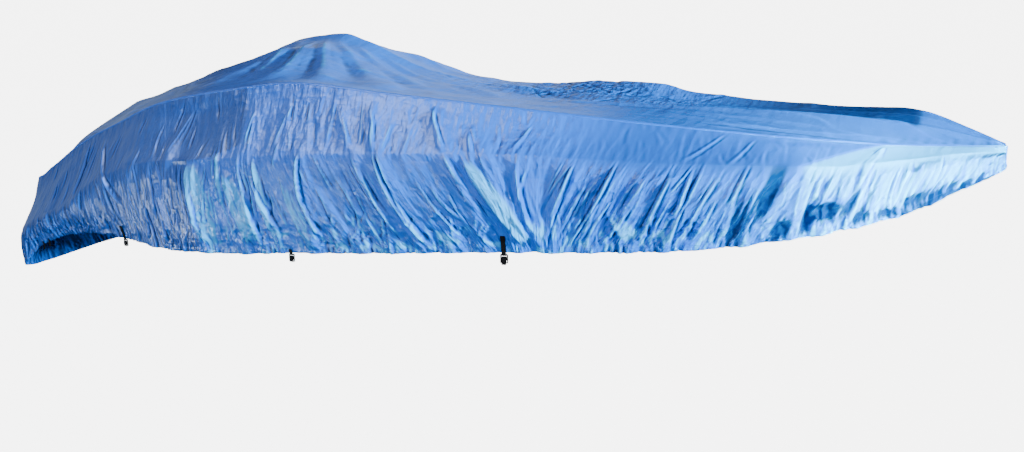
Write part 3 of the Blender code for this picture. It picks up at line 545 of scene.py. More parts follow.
def side_fold_height(along, level, rows):
    """How far the cloth of a side stands out from its base, with the crest of each long fold sharpened."""
    height = np.zeros(level.shape)
    for along_top, level_top, along_low, level_low, bend, width, tall in rows:
        part = np.clip((level - level_top) / (level_low - level_top), 0, 1)
        off = along - (along_top + (along_low - along_top) * part + bend * np.sin(math.pi * part))
        rise = ease(level, level_top + FOLD_FADE_IN[0], level_top + FOLD_FADE_IN[1])
        fall = 1 - ease(level, level_low + FOLD_FADE_OUT[0], FOLD_FADE_OUT[1])
        soft = SOFT_FOLD + SOFT_FOLD_AFT * (1 - ease(along_top, *SOFT_FOLD_ENDS))
        height += tall * (soft * bell(off, width) + FOLD_TENT * tent(off, 1.1 * width)) * rise * fall
        thin = CREST_WIDTH * (0.5 + 0.9 * part)
        pinch = 0.55 + 0.45 * np.sin(CREST_WAVES * level + CREST_SHIFT * along_top)
        pinch = pinch * rise * (1 - ease(level, level_low - 0.20, level_low + 0.02))
        pinch = pinch * (PINCH_AFT + (1 - PINCH_AFT) * ease(along_top, *PINCH_ENDS))
        pinched = crest(off, 0.7 * thin, 1.7 * thin) - 0.5 * tent(off + 1.5 * thin, 0.8 * thin)
        height += CREST_HEIGHT * pinched * pinch
    gather = HEM_GATHER * np.sin(2 * math.pi * along / HEM_GATHER_PITCH)
    gather = gather + HEM_SWING * np.sin(2 * math.pi * along / HEM_SWING_PITCH)
    return height + gather * ease(level, HEM_GATHER_LEVEL, 2.0)


def pocket_depth(along, level):
    """How deep the cloth is pressed in between the gathers at the bow."""
    depth = np.zeros(level.shape)
    for at_along, at_level, half_length, half_height, deep in BOW_POCKETS:
        off = along - at_along + POCKET_LEAN * (level - at_level)
        depth += deep * np.exp(-((off / half_length) ** 2) ** 2 - ((level - at_level) / half_height) ** 2)
    return depth


def facet_shares(along, level):
    """Height of the broad facets of the starboard skirt, and how much paler their long flanks are painted: a
    painted highlight where they face the light.
    """
    height, paler = np.zeros(level.shape), np.zeros(level.shape)
    for along_top, level_top, along_low, level_low, bend, steep, length, tall, pale in FACETS:
        part = np.clip((level - level_top) / (level_low - level_top), 0, 1)
        off = along - (along_top + (along_low - along_top) * part + bend * np.sin(math.pi * part))
        long = length * (0.45 + 0.75 * np.sin(math.pi * part))
        ends = ease(level, level_top - 0.05, level_top + 0.12)
        ends = ends * (1 - ease(level, level_low - 0.12, level_low))
        height = np.maximum(height, tall * crest(off, steep, long) * ends)
        paler = np.maximum(paler, pale * ease(off, -0.002, 0.006) * (1 - ease(off, 0.6 * long, long)) * ends)
    return height, paler


SHADE_BAND, SHADE_SKIRT = 2.97, 2.60  # the shaded aft part ends here on the band and on the skirt
SHADE_STEP, SHADE_SOFT = (0.80, 1.10), 0.03  # levels of the step, and how softly the shade ends
PORT_SHADE_ENDS = (0.2, 1.1)  # the port side is shaded only round the stern


def shaded_aft(along, level, uneven, side):
    """Share of the cloth that has turned away aft and is painted in shade, up to an uneven edge that steps
    aft at the rail.
    """
    edge = SHADE_BAND - (SHADE_BAND - SHADE_SKIRT) * ease(level, *SHADE_STEP)
    share = 1 - ease(along + uneven, edge - SHADE_SOFT, edge + SHADE_SOFT / 3)
    return share if side < 0 else share * (1 - ease(along, *PORT_SHADE_ENDS))


def deck_fold_height(points):
    """How far the cloth of the deck panel stands up from its base at each point."""
    height = np.zeros(points.shape[:-1])
    for x_from, y_from, x_to, y_to, width, tall in DECK_FOLDS:
        start, run = np.array([x_from, y_from]), np.array([x_to - x_from, y_to - y_from])
        length = np.linalg.norm(run)
        run = run / length
        offset = points[..., :2] - start
        along = offset @ run
        across = offset[..., 0] * run[1] - offset[..., 1] * run[0]
        rise = ease(along, *DECK_FOLD_ENDS) * (1 - ease(along, length - DECK_FOLD_ENDS[1], length))
        height += tall * bell(across, width) * rise
    return height


PATCH_X, PATCH_Y, PATCH_LENGTH, PATCH_WIDTH = 3.45, 0.06, 0.55, 0.24
PATCH_SEED, PATCH_CREASES, PATCH_CREASE_X, PATCH_CREASE_Y = 47, 60, (3.42, 0.32), (0.06, 0.14)
PATCH_TURN, PATCH_HALVES, PATCH_HEIGHTS, PATCH_UPWARD = 0.9, (0.05, 0.20), (0.002, 0.004), 0.4
PATCH_BEND, PATCH_WIDTHS = 0.02, (0.009, 0.014)
# Painted shade of the foredeck: a strip and rim on its far side, darkest towards the bow; its near side
# forward and the crumpled patch are darker too.
STRIP_Y, STRIP_TURN, STRIP_SLOPE, STRIP_START, STRIP_END = -0.05, 4.3, 0.10, (3.75, 4.35), (4.91, 4.98)
RIM_Y, RIM_START = (0.06, 0.09), (5.02, 5.07)
STRIP_SHADE, STRIP_SHADE_AT, PATCH_SHADE = (0.6, 1.0), (4.2, 4.7), 0.45
NEAR_SHADE, NEAR_START, NEAR_Y = 0.40, (4.0, 4.5), 0.05


def crumpled_patch(x, y):
    """Share of the crumpled cloth forward of the crown, where the cover lay folded."""
    return np.exp(-(((x - PATCH_X) / PATCH_LENGTH) ** 2) - ((y - PATCH_Y) / PATCH_WIDTH) ** 2)


def deck_dark(x, y):
    """How much darker the deck is painted: painted shade on a strip and rim on the far side of the foredeck,
    and darker on its near side forward and in the crumpled patch.
    """
    edge = y - STRIP_Y + STRIP_SLOPE * np.clip(x - STRIP_TURN, 0, 1)
    strip = ease(edge, 0.0, 0.05) * ease(x, *STRIP_START) * (1 - ease(x, *STRIP_END))
    rim = ease(y, *RIM_Y) * ease(x, *RIM_START)
    shade = STRIP_SHADE[0] + (STRIP_SHADE[1] - STRIP_SHADE[0]) * ease(x, *STRIP_SHADE_AT)
    near = NEAR_SHADE * ease(x, *NEAR_START) * (y < NEAR_Y)
    patch = PATCH_SHADE * ease(crumpled_patch(x, y), 0.3, 0.8)
    return np.maximum(shade * np.maximum(strip, rim) + patch, near)


def patch_creases():
    """Sharp creases that cross one another where the deck panel lay folded."""
    draw = np.random.RandomState(PATCH_SEED)
    rows = []
    for _ in range(PATCH_CREASES):
        x, y = draw.normal(*PATCH_CREASE_X), draw.normal(*PATCH_CREASE_Y)
        turn, half = draw.uniform(-PATCH_TURN, PATCH_TURN), draw.uniform(*PATCH_HALVES)
        tall = draw.uniform(*PATCH_HEIGHTS) * (1 if draw.rand() < PATCH_UPWARD else -1)
        run_x, run_y = half * math.cos(turn), half * math.sin(turn)
        ends = (x - run_x, y - run_y, x + run_x, y + run_y)
        rows.append((*ends, draw.uniform(-PATCH_BEND, PATCH_BEND), draw.uniform(*PATCH_WIDTHS), tall))
    return rows


def layer(row, u, v, warp, seed=0):
    """One layer of uneven relief, from a row of a relief table without its shares."""
    tall, kind, pitch_u, pitch_v, warp_u, warp_v, step = row
    return tall * kind(u / pitch_u + warp_u * warp, v / pitch_v + warp_v * warp, seed + step)


# Uneven relief of the deck: height, kind, pitch lengthwise and across, share of the warp in each, seed, and
# how much of it there is everywhere and in the crumpled patch.
DECK_RELIEF = (
    (0.005, gradient_noise, 0.35, 0.16, 0.0, 0.0, 41, 1.00, 0.0),
    (0.004, ridges, 0.45, 0.12, 1.0, 0.4, 42, 1.00, 0.0),
    (0.006, facets, 0.22, 0.13, 1.0, 1.0, 43, 0.35, 1.0),
    (0.004, facets, 0.14, 0.07, 1.0, 1.0, 44, 0.00, 1.0),
    (0.003, ridges, 0.30, 0.08, 1.0, 1.0, 45, 0.00, 1.0),
)


def deck_crumple(x, y):
    """Soft lengthwise waves of the deck panel, and its sharp creases where it is crumpled."""
    patch = crumpled_patch(x, y)
    warp = 0.4 * gradient_noise(x * 4, y * 6, 40)
    height = crease_height(x, y, list(DECK_CREASES) + patch_creases())
    for *row, everywhere, in_patch in DECK_RELIEF:
        height += layer(row, x, y, warp) * (everywhere + in_patch * patch)
    return height


def crest_wear_and_shade(height, reaches):
    """How far each point stands over (up to 1) or under (to -1) the cloth right beside it, for the colour:
    paler on crests, part worn coating and part painted highlight, and darker in the troughs, painted shade.
    """
    spread = height.copy()
    for axis, reach in enumerate(reaches):
        shifted = [np.roll(spread, step, axis) for step in range(-reach, reach + 1)]
        spread = sum(shifted) / len(shifted)
    return np.clip((height - spread) / WEAR_AND_HIGHLIGHT_HEIGHT, -1, 1)


# ---- cloth panels ------------------------------------------------------------------------------------
LIFT = 0.002  # the cloth is drawn this far out of its base surface
SEAM_PUCKER, SEAM_PUCKER_PITCH, SEAM_PUCKER_LENGTH = 0.0016, 0.034, 0.06
SEAM_PUCKER_REACH, SEAM_PUCKER_START = 0.045, 0.006
HEM_CASING, HEM_CASING_RISE = 0.024, 0.0025  # width of the turned hem, and how far it stands out
HEM_DRAWN, HEM_LEVELS = 0.4, (1.80, 1.98)  # the elastic keeps the relief lower here
HEM_PLEAT, HEM_PLEAT_PITCH, HEM_PLEAT_LENGTH, HEM_PLEAT_REACH = 0.0075, 0.030, 0.12, 0.070
TURN_AT, TURN_REACH, TURN_SLOPE = 2.975, 0.30, 0.06  # the band turns away aft of this fold
TURN_TOP, TURN_FOOT = (0, 0.25), (1.0, 1.4)
FLAT_PLACES = (4.33, 3.23, 1.97, 1.185, 1.235)  # webbing holds the skirt flat here
FLAT_REACH, FLAT_LEVELS, FLATTENED = (0.018, 0.06), (1.6, 1.8), 0.85
RAIL_TIGHT, RAIL_REACH = 0.55, 0.012  # the rub rail pulls the cloth smooth
SMOOTH_AT, SMOOTH_REACH, SMOOTHED = 4.47, 0.13, 0.8  # the skirt hangs smoother about here
HEM_FULL, HEM_FULL_FROM = 0.45, (0.9, 1.6)  # how fully the hem is gathered aft, and where that grows to 1
WHOLE_SKIRT, LOW_SKIRT, WHOLE_BAND = (0.98, 1.25), (1.45, 1.9), (0.05, 0.3)  # levels over which each sets in
CALM_BAND, CALMED, CALM_CRUMPLE = (4.2, 5.0), 0.6, 0.25  # forward of here the band is calmer
CRISP_SKIRT, CRISPED = (4.3, 4.7), 0.7  # forward of here the skirt's folds are higher
FOLDED_BAND, FOLDED_LEAST = (2.8, 3.1), 0.3  # aft of here the band has fewer folds
CREASED, CREASED_LEAST = (2.4, 3.0), 0.5  # aft of here the bumps are lower
WARP, WARP_SCALES = 0.5, (9, 7)  # sideways unevenness of every layer, and its features for each metre
PATCHES, PATCH_SCALES, PATCH_LIMITS = (0.75, 0.7), (2.3, 3.0), (0.15, 1.3)  # rougher and smoother patches
CRUMPLE_BAND, CRUMPLE_SKIRT, CRUMPLE_PATCHES = 0.35, 0.65, 0.3
SWELL, SWELL_PITCHES, SWELL_LEVELS = 0.006, (0.4, 0.3), (0.1, 0.4)
WEAR_AND_HIGHLIGHT_HEIGHT = 0.0028  # a crest that stands this far over the cloth beside it is palest: part worn coating, part painted highlight
POCKET_SHADE = 0.006  # a pocket this deep is painted a whole step darker, painted shade
BOW_SUNLIGHT, BOW_SUNLIGHT_AT, BOW_SUNLIGHT_SLANT = 0.6, (5.44, 5.50), 0.3  # painted sunlight: the bow end of the sides is paler, as if in direct sun
PLAIN_SHADE, PLAIN_PLACES = 0.5, (4.3, 4.9)  # painted shade: the band is darker from here to the painted sunlit bow
# painted shade of the cloth that turns away aft, and how uneven its edge is
AFT_SHADE, AFT_UNEVEN = 0.55, 0.03
TURNED_SHADE, TURNED_LEVELS, TURNED_PLACES = 1.8, (1.86, 1.93), (5.78, 5.90)  # painted shade: a dark strip along the turned hem at the bow
MOTTLE, MOTTLE_START, MOTTLE_END = 1.8, (2.5, 2.7), (5.2, 5.5)  # pale patches low on the skirt
PALEST = 1.2

# Uneven relief of a side: height, kind, pitch along the rail and down, share of the warp in each, step of the
# seed, and the share of it at each place, as side_shares names it.
SIDE_RELIEF = (
    (0.0040, ridges, 0.120, 0.60, 0.3, 0.0, 9, "long_folds"),
    (0.0030, ridges, 0.045, 0.24, 0.3, 0.0, 10, "fine_folds"),
    (0.0140, facets, 0.110, 0.30, 0.6, 0.0, 2, "broad_facets"),
    (0.0100, facets, 0.040, 0.09, 1.0, 1.0, 3, "gathers"),
    (0.0045, facets, 0.020, 0.03, 1.0, -1.0, 4, "hem"),
    (0.0030, ridges, 0.042, 0.20, 0.3, 0.0, 5, "band_folds"),
    (0.0030, facets, 0.070, 0.14, 1.0, 0.0, 12, "band"),
)


def spaced_columns():
    """Distances along the rail of the side panel's columns: fewer on the transom, more round its corner."""
    x, y, along = rail_outline()
    heading = np.unwrap(np.arctan2(np.diff(y), np.diff(x)))
    turned = np.concatenate([[0, 0], np.cumsum(np.abs(np.diff(heading)))])
    density = np.where(along < TRANSOM_END, TRANSOM_SHARE, 1.0)
    weight = np.concatenate([[0], np.cumsum(np.diff(along) * density[1:])]) + CORNER_SHARE * turned
    return np.interp(np.linspace(0, weight[-1], SIDE_COLUMNS + 1), weight, along)


def side_levels():
    """Levels of the side panel's rows, closer together at the seam, the rail and the hem."""
    band = np.concatenate([[0, 0.02, 0.045], np.linspace(0.09, 0.95, BAND_ROWS - 4), [0.98]])
    skirt = np.concatenate([[1.0, 1.02], np.linspace(1.05, 1.93, SKIRT_ROWS - 6)])
    return np.concatenate([band, skirt, [1.95, 1.965, 1.98, 1.99, 2.0]])


def deck_columns():
    """Distances along the rail of the deck panel's columns, fewer on the transom."""
    shares, places = [0, DECK_TRANSOM_SHARE, 1], [0, DECK_TRANSOM_END, rail_outline()[2][-1]]
    return np.interp(np.linspace(0, 1, DECK_COLUMNS + 1), shares, places)


def slanted_grid():
    """The places of a side panel's columns and rows, slanted so that the columns run with the creases."""
    along, level = np.meshgrid(spaced_columns(), side_levels(), indexing="ij")
    places = column(SLANT, SLANT_COLUMNS, "along")
    band, skirt = (smooth(places, column(SLANT, SLANT_COLUMNS, name), along) for name in ("band", "skirt"))
    return along + band * np.minimum(level, 1) + skirt * np.clip(level - 1, 0, 1), level


def on_chart(row, along, down):
    """A crease given by (along, level) at both ends, in metres along and down from the rail."""
    ends = []
    for place, level in (row[:2], row[2:4]):
        length = np.interp(place, along[:, 0], down[:, -1] if level > 1 else -down[:, 0])
        ends += [place, (level - 1) * length]
    return (*ends, *row[4:])


def side_shares(along, level, down, side):
    """How much of each kind of unevenness a side panel has at each place, and the noise that they share."""
    seed = SIDE_SEEDS[side]
    run = along - lean_at(along, side) * np.clip(level - 1, 0, 1)
    warp = WARP * gradient_noise(along * WARP_SCALES[0], down * WARP_SCALES[1], seed)
    patch = gradient_noise(along * PATCH_SCALES[0], down * PATCH_SCALES[1], seed + 1)
    patch = np.clip(PATCHES[0] + PATCHES[1] * patch, *PATCH_LIMITS)
    low, skirt = ease(level, *LOW_SKIRT), ease(level, *WHOLE_SKIRT)
    full = HEM_FULL + (1 - HEM_FULL) * ease(along, *HEM_FULL_FROM) * (side < 0)
    smoothed = 1 - SMOOTHED * np.exp(-(((along - SMOOTH_AT) / SMOOTH_REACH) ** 2)) * skirt
    calmer = ease(along, *CALM_BAND)
    band = ease(level, *WHOLE_BAND) * (1 - skirt) * (1 - CALMED * calmer)
    crisp = 1 + CRISPED * ease(along, *CRISP_SKIRT)
    crumple = CRUMPLE_BAND + CRUMPLE_SKIRT * skirt + CRUMPLE_PATCHES * (patch - PATCHES[0])
    crumple = np.clip(crumple - CALM_CRUMPLE * (1 - skirt) * calmer, 0, 1) * smoothed
    return {
        "run": run,
        "warp": warp,
        "low": low,
        "skirt": skirt,
        "hem": low * full,
        "kept": 1 - (1 - full) * low,
        "full": full,
        "long_folds": skirt * patch * crisp * smoothed,
        "fine_folds": skirt * (1.3 - 0.6 * patch) * smoothed,
        "broad_facets": skirt * patch * crisp,
        "gathers": (0.25 * skirt + 0.75 * low) * full,
        "band_folds": band * patch * (FOLDED_LEAST + (1 - FOLDED_LEAST) * ease(along, *FOLDED_BAND)),
        "band": band,
        "crumple": crumple * (CREASED_LEAST + (1 - CREASED_LEAST) * ease(along, *CREASED)),
    }


def side_height(along, level, girth, down, side, share):
    """How far the cloth of a side panel stands out from its base, before the pockets and the broad facets."""
    seed = SIDE_SEEDS[side]
    height = side_fold_height(along, level, STARBOARD_FOLDS if side < 0 else port_folds())
    creases = (list(STARBOARD_CREASES) if side < 0 else []) + small_creases(side)
    height += crease_height(along, down, [on_chart(row, along, down) for row in creases]) * share["kept"]
    for *row, kept in SIDE_RELIEF:
        height += layer(row, share["run"], down, share["warp"], seed) * share[kept]
    if side < 0:
        behind = TURN_AT - along
        turned = np.clip(behind, 0, TURN_REACH) * (1 - ease(behind, TURN_REACH, 3 * TURN_REACH))
        height -= TURN_SLOPE * turned * ease(level, *TURN_TOP) * (1 - ease(level, *TURN_FOOT))
    swell = gradient_noise(along / SWELL_PITCHES[0], down / SWELL_PITCHES[1], seed + 6)
    height += SWELL * swell * ease(level, *SWELL_LEVELS)
    height *= 1 - RAIL_TIGHT * np.exp(-((down / RAIL_REACH) ** 2))
    calm = np.ones_like(along)
    for place in FLAT_PLACES:
        calm = calm * ease(np.abs(along - place), *FLAT_REACH)
    height *= 1 - FLATTENED * ease(level, *FLAT_LEVELS) * (1 - calm)
    height *= ease(level, *PLAIN_TOP) * ease(along, *PLAIN_AFT) * (1 - ease(along, *PLAIN_BOW))

    to_hem = girth[:, -1:] - girth
    pleat = 0.4 - np.abs(gradient_noise(along / HEM_PLEAT_PITCH, to_hem / HEM_PLEAT_LENGTH, seed + 7))
    near_hem = np.exp(-((to_hem / HEM_PLEAT_REACH) ** 2))
    height += share["full"] * 2 * HEM_PLEAT * pleat * near_hem * (0.3 + 0.7 * calm)
    height += puckers(along, girth, seed + 8)
    casing = np.clip(1 - to_hem / HEM_CASING, 0, 1)
    height += HEM_CASING_RISE * np.sin(math.pi * casing) ** 0.5 * (casing > 0)
    return height * (1 - HEM_DRAWN * ease(level, *HEM_LEVELS))


def puckers(along, from_seam, seed):
    """Small gathers where the stitching draws the seam together."""
    pucker = gradient_noise(along / SEAM_PUCKER_PITCH, from_seam / SEAM_PUCKER_LENGTH, seed)
    near = np.exp(-((from_seam / SEAM_PUCKER_REACH) ** 2)) * ease(from_seam, 0.0, SEAM_PUCKER_START)
    return SEAM_PUCKER * pucker * near


def side_shade(along, level, down, side, share):
    """How much paler (over 0) or darker (under 0) the cloth is from its place alone: painted sunlight at the
    bow, painted shade on the band, aft and at the bow's hem, and pale patches low on the skirt.
    """
    seed, run, warp, skirt = SIDE_SEEDS[side], share["run"], share["warp"], share["skirt"]
    # painted sunlight on the bow end of the sides
    sunlit_bow = ease(along - BOW_SUNLIGHT_SLANT * np.clip(1 - level, 0, 1), *BOW_SUNLIGHT_AT)
    # painted shade of the band forward, and of the cloth that turns away aft
    plain = PLAIN_SHADE * (1 - skirt) * ease(along, *PLAIN_PLACES) * (1 - sunlit_bow)
    plain = plain + AFT_SHADE * shaded_aft(along, level, AFT_UNEVEN * warp, side)
    # painted shade of the bow's turned hem
    turned = ease(level, *TURNED_LEVELS) * ease(along, *TURNED_PLACES) * (side < 0)
    turned = turned * np.clip(0.9 + 1.2 * gradient_noise(run / 0.06, down / 0.03, seed + 13), 0, 2)
    mottled = np.clip(gradient_noise(run / 0.055 + warp, down / 0.05 + warp, seed + 14), 0, 1) * share["low"]
    mottled = mottled * ease(along, *MOTTLE_START) * (1 - ease(along, *MOTTLE_END))
    return BOW_SUNLIGHT * sunlit_bow * (1 + 0.7 * (1 - skirt)) - plain - TURNED_SHADE * turned + MOTTLE * mottled


def side_surface(side):
    """Outer face of a side panel: points by column and level, places along the cloth, painted light and shade
    with worn crests, and crumple.
    """
    along, level = slanted_grid()
    base = side_base(along, level, side)
    drop = np.linalg.norm(np.diff(side_base(along[:, :1] + 0 * level, level, side), axis=1), axis=2)
    girth = np.concatenate([np.zeros((len(drop), 1)), np.cumsum(drop, axis=1)], 1)
    rail_row = int(np.argmin(abs(level[0] - 1)))
    down = girth - girth[:, rail_row : rail_row + 1]
    share = side_shares(along, level, down, side)
    height = side_height(along, level, girth, down, side, share)
    shade = side_shade(along, level, down, side, share)
    if side < 0:
        pockets, (facet, paler) = pocket_depth(along, level), facet_shares(along, level)
        height = height - pockets + facet
        # painted highlight on the facets' long flanks, painted shade in the pockets
        shade = shade + paler - pockets / POCKET_SHADE
    points = base + outward(base, side) * (height + LIFT)[..., None]
    points[0, :, 1] = points[-1, :, 1] = side * SEAM_GAP / 2
    # the colour attribute: painted highlight and shade of the relief, painted sunlight and shade by place,
    # and worn crests
    painted_light_and_wear = np.clip(crest_wear_and_shade(height, (2, 0)) + shade, -1, PALEST)
    return points, np.stack([share["run"], down], -1), painted_light_and_wear, share["crumple"]


def deck_surface():
    """Outer face of the deck panel, from the bow along starboard, round the transom and back along port."""
    along = deck_columns()
    shares = np.concatenate([np.linspace(0, 1.94, DECK_ROWS - 4), [1.965, 1.98, 1.99, 2.0]])
    halves = []
    for side in (-1, 1):
        base = deck_base(along, shares, side)
        base[:, -1, :2] -= plan_of(along, side)[3] * SEAM_GAP
        girth = np.linalg.norm(np.diff(base, axis=1), axis=2)
        to_edge = np.concatenate([np.cumsum(girth[:, ::-1], axis=1)[:, ::-1], np.zeros((len(along), 1))], 1)
        share_row = np.broadcast_to(shares[None, :], to_edge.shape)
        column_along = np.broadcast_to(along[:, None], to_edge.shape)
        x, y = base[..., 0], base[..., 1]
        height = deck_fold_height(base) * (1 - ease(share_row, *DECK_PLAIN))
        height += deck_crumple(x, y) * (1 - 0.8 * ease(share_row, 1.85, 2.0))
        height += puckers(column_along, to_edge, DECK_SEEDS[side])
        points = base + outward(base, side) * (height + LIFT)[..., None]
        points[:, 0, 1] = 0
        points[:, 0, 2] = base[:, 0, 2] + LIFT + height[:, 0]
        points[-1] = (LENGTH - BOW_CUT, 0, ridge_value("ridge_z", np.array([LENGTH]))[0] + LIFT)
        crumple = np.clip(0.12 + 0.5 * crumpled_patch(x, y), 0, 1)
        # painted shade of the deck aft of the crown
        painted_aft_shade = AFT_TOP_SHADE * (1 - ease(x + 0.5 * y, *AFT_TOP_ENDS))
        # the colour attribute: painted highlight and shade of the relief, and the deck's painted shade
        painted_light_and_wear = np.clip(crest_wear_and_shade(height, (2, 1)) - deck_dark(x, y) - painted_aft_shade, -1, 1)
        halves.append((points, base[..., :2], painted_light_and_wear, crumple))
    return [np.concatenate([starboard[::-1], port[1:]]) for starboard, port in zip(*halves)]


def grid_quads(columns, rows):
    """Corner numbers of the faces of a grid of points, column by row."""
    index = np.arange(columns * rows).reshape(columns, rows)
    return np.stack([index[:-1, :-1], index[1:, :-1], index[1:, 1:], index[:-1, 1:]], -1).reshape(-1, 4)


def mesh_object(name, points, quads, look):
    """A plain mesh in the shared frame, from points measured from the stern."""
    mesh = bpy.data.meshes.new(name)
    place = np.asarray(points).reshape(-1, 3) - np.array([CROWN_X, 0, CROWN_Z])
    mesh.from_pydata(place.tolist(), [], np.asarray(quads).tolist())
    mesh.materials.append(look)
    made = bpy.data.objects.new(name, mesh)
    bpy.context.scene.collection.objects.link(made)
    return made


def cloth_object(name, points, coordinates, painted_light_and_wear, crumple, look, flip):
    """A grid of points, column by level, as one thin sheet of cloth in a single layer."""
    quads = grid_quads(*points.shape[:2])
    if flip:
        quads = quads[:, ::-1]
    made = mesh_object(name, points, quads, look)
    mesh = made.data
    uv_layer = mesh.uv_layers.new(name="cloth")
    uv_layer.data.foreach_set("uv", coordinates.reshape(-1, 2)[quads.ravel()].astype(np.float32).ravel())
    for label, values in (("painted_light_and_wear", painted_light_and_wear), ("crumple", crumple)):
        attribute = mesh.attributes.new(label, "FLOAT", "POINT")
        attribute.data.foreach_set("value", values.astype(np.float32).ravel())
    shape = bmesh.new()
    shape.from_mesh(mesh)
    bmesh.ops.remove_doubles(shape, verts=shape.verts, dist=0.00002)
    shape.to_mesh(mesh)
    shape.free()
    mesh.shade_smooth()
    return made


# ---- seams and stitching -----------------------------------------------------------------------------
SEAM_HALF, SEAM_FLANK = 0.007, 0.12  # half width of a felled seam, and the share of it that rises
SEAM_RISE, SEAM_EDGE = 0.0016, 0.0003
SEAM_STEPS, SEAM_STOP = 1100, 0.03
STITCH_PITCH, STITCH_LENGTH, STITCH_WIDTH, STITCH_LIFT = 0.0052, 0.0036, 0.0009, 0.0005
STITCH_ROW, STITCH_ENDS = 0.55, 0.01  # a row's place between middle and edge, and how far short it stops


def unit(vectors):
    return vectors / np.maximum(np.linalg.norm(vectors, axis=-1, keepdims=True), 1e-9)


def resampled(places, points, at):
    return np.stack([np.interp(at, places, points[:, axis]) for axis in range(3)], -1)


def deck_seam_lines(side, side_points, deck_points):
    """Points along the seam: low edge of the felled seam, middle, high edge, and the way out of the cloth."""
    deck_side = deck_points[: DECK_COLUMNS + 1][::-1] if side < 0 else deck_points[DECK_COLUMNS:]
    columns, along = spaced_columns(), deck_columns()
    at = np.linspace(0, along[-1] - SEAM_STOP, SEAM_STEPS)
    top, below = (resampled(columns, side_points[:, row], at) for row in (0, 1))
    edge, inner = (resampled(along, deck_side[:, row], at) for row in (-1, -2))
    low, high = top + SEAM_HALF * unit(below - top), edge + SEAM_HALF * unit(inner - edge)
    out = unit(np.cross(np.gradient(low, axis=0), high - low))
    out = out * np.where(out[:, 2:] < 0, -1, 1)
    return low, (top + edge) / 2, high, out


def end_seam_lines(panels, at_bow):
    """The same for the seam that joins the side panels to each other at the transom or at the bow."""
    columns = spaced_columns()
    place, end, forward = (columns[-1] - SEAM_HALF, -1, 1.0) if at_bow else (SEAM_HALF, 0, -1.0)
    low, high = (np.stack([resampled(columns, row, place) for row in rows.swapaxes(0, 1)]) for rows in panels)
    lines = (low, (panels[0][end] + panels[1][end]) / 2, high)
    low, middle, high = (np.concatenate([line[:1] + (0, 0, SEAM_HALF / 2), line]) for line in lines)
    return low, middle, high, np.tile([forward, 0.0, 0.0], (len(low), 1))


def seam_tape(name, lines, look):
    """A flat-felled seam: a low, narrow fold of doubled cloth over the edges that it joins."""
    low, middle, high, out = lines
    rows = (
        low + SEAM_EDGE * out,
        low + SEAM_FLANK * (middle - low) + SEAM_RISE * out,
        middle + (SEAM_RISE + SEAM_EDGE) * out,
        high + SEAM_FLANK * (middle - high) + SEAM_RISE * out,
        high + SEAM_EDGE * out,
    )
    made = mesh_object(name, np.stack(rows, 1), grid_quads(len(low), len(rows)), look)
    made.data.shade_smooth()
    return made


def stitching(name, lines, look):
    """Rows of short stitches, each a small flat patch of thread on the cloth. Lines: points and ways out."""
    points, quads = [], []
    for line, out in lines:
        run = np.concatenate([[0], np.cumsum(np.linalg.norm(np.diff(line, axis=0), axis=1))])
        starts = np.arange(STITCH_ENDS, run[-1] - STITCH_ENDS, STITCH_PITCH)
        first, last = resampled(run, line, starts), resampled(run, line, starts + STITCH_LENGTH)
        lift = resampled(run, out, starts)
        across = unit(np.cross(last - first, lift)) * STITCH_WIDTH / 2
        first, last = first + STITCH_LIFT * lift, last + STITCH_LIFT * lift
        quads.extend(4 * len(points) + 4 * np.arange(len(starts))[:, None] + np.arange(4))
        points.extend(np.stack([first - across, last - across, last + across, first + across], 1))
    return mesh_object(name, points, quads, look)


def hem_line(points, side):
    """The line of stitches that closes the turned hem."""
    drop = np.linalg.norm(np.diff(points[:, ::-1], axis=1), axis=2)
    up = np.concatenate([np.zeros((len(points), 1)), np.cumsum(drop, axis=1)], 1)[:, ::-1]
    out = outward(points, side)
    at = np.array([[np.interp(HEM_CASING, row[::-1], np.arange(len(row))[::-1])] for row in up])
    low = np.floor(at).astype(int)
    part, column_index = (at - low), np.arange(len(points))[:, None]
    line = points[column_index, low] * (1 - part[..., None]) + points[column_index, low + 1] * part[..., None]
    return line[:, 0], out[column_index, low][:, 0]


# ---- materials ---------------------------------------------------------------------------------------
WORN_AND_HIGHLIGHT_BLUE = (0.02, 0.38, 0.95)  # the coating along a sharp crest, part worn and part a painted highlight, and the painted sunlit bow
DARK_SHARE = 0.22  # the darkest painted shade is this share of the deep blue
WORN_AND_HIGHLIGHT_RANGE, DARK_RANGE = (0.20, 1.2), (-0.08, -0.95)  # the values of the colour attribute over which each blue sets in
# the gloss is turned down where the painted shade is darkest
DULL_RANGE, DULL_SPECULAR = (-1.0, -0.85), (0.05, 0.5)
# Bumps over the cloth's own coordinates, where it is crumpled: scale along and down, and depth in metres.
CREASE_BUMPS = (((24.0, 5.0, 1.0), 0.006), ((14.0, 26.0, 1.0), 0.004), ((60.0, 22.0, 1.0), 0.0025))
FOLD_BUMPS = (((16.0, 6.0, 1.0), 0.018), ((34.0, 20.0, 1.0), 0.010))
CREASE_NOISE = {"Scale": 1.0, "Detail": 2.0, "Roughness": 0.4, "Offset": 0.9, "Gain": 1.2}
FOLD_CELLS = {"Scale": 1.0, "Exponent": 1.2, "Randomness": 0.9}
BUMP_STRENGTH = 0.8
THREADS_SCALE, THREADS_DEPTH, THREADS_STRENGTH = 160.0, 0.0002, 0.10
CRINKLE_DEPTH, CRINKLE_STRENGTH = 0.002, 0.3


def node(tree, kind, inputs=None, **settings):
    """A shader node with its settings and the values of its own inputs."""
    made = tree.nodes.new(kind)
    for name, value in settings.items():
        setattr(made, name, value)
    for name, value in (inputs or {}).items():
        made.inputs[name].default_value = value
    return made


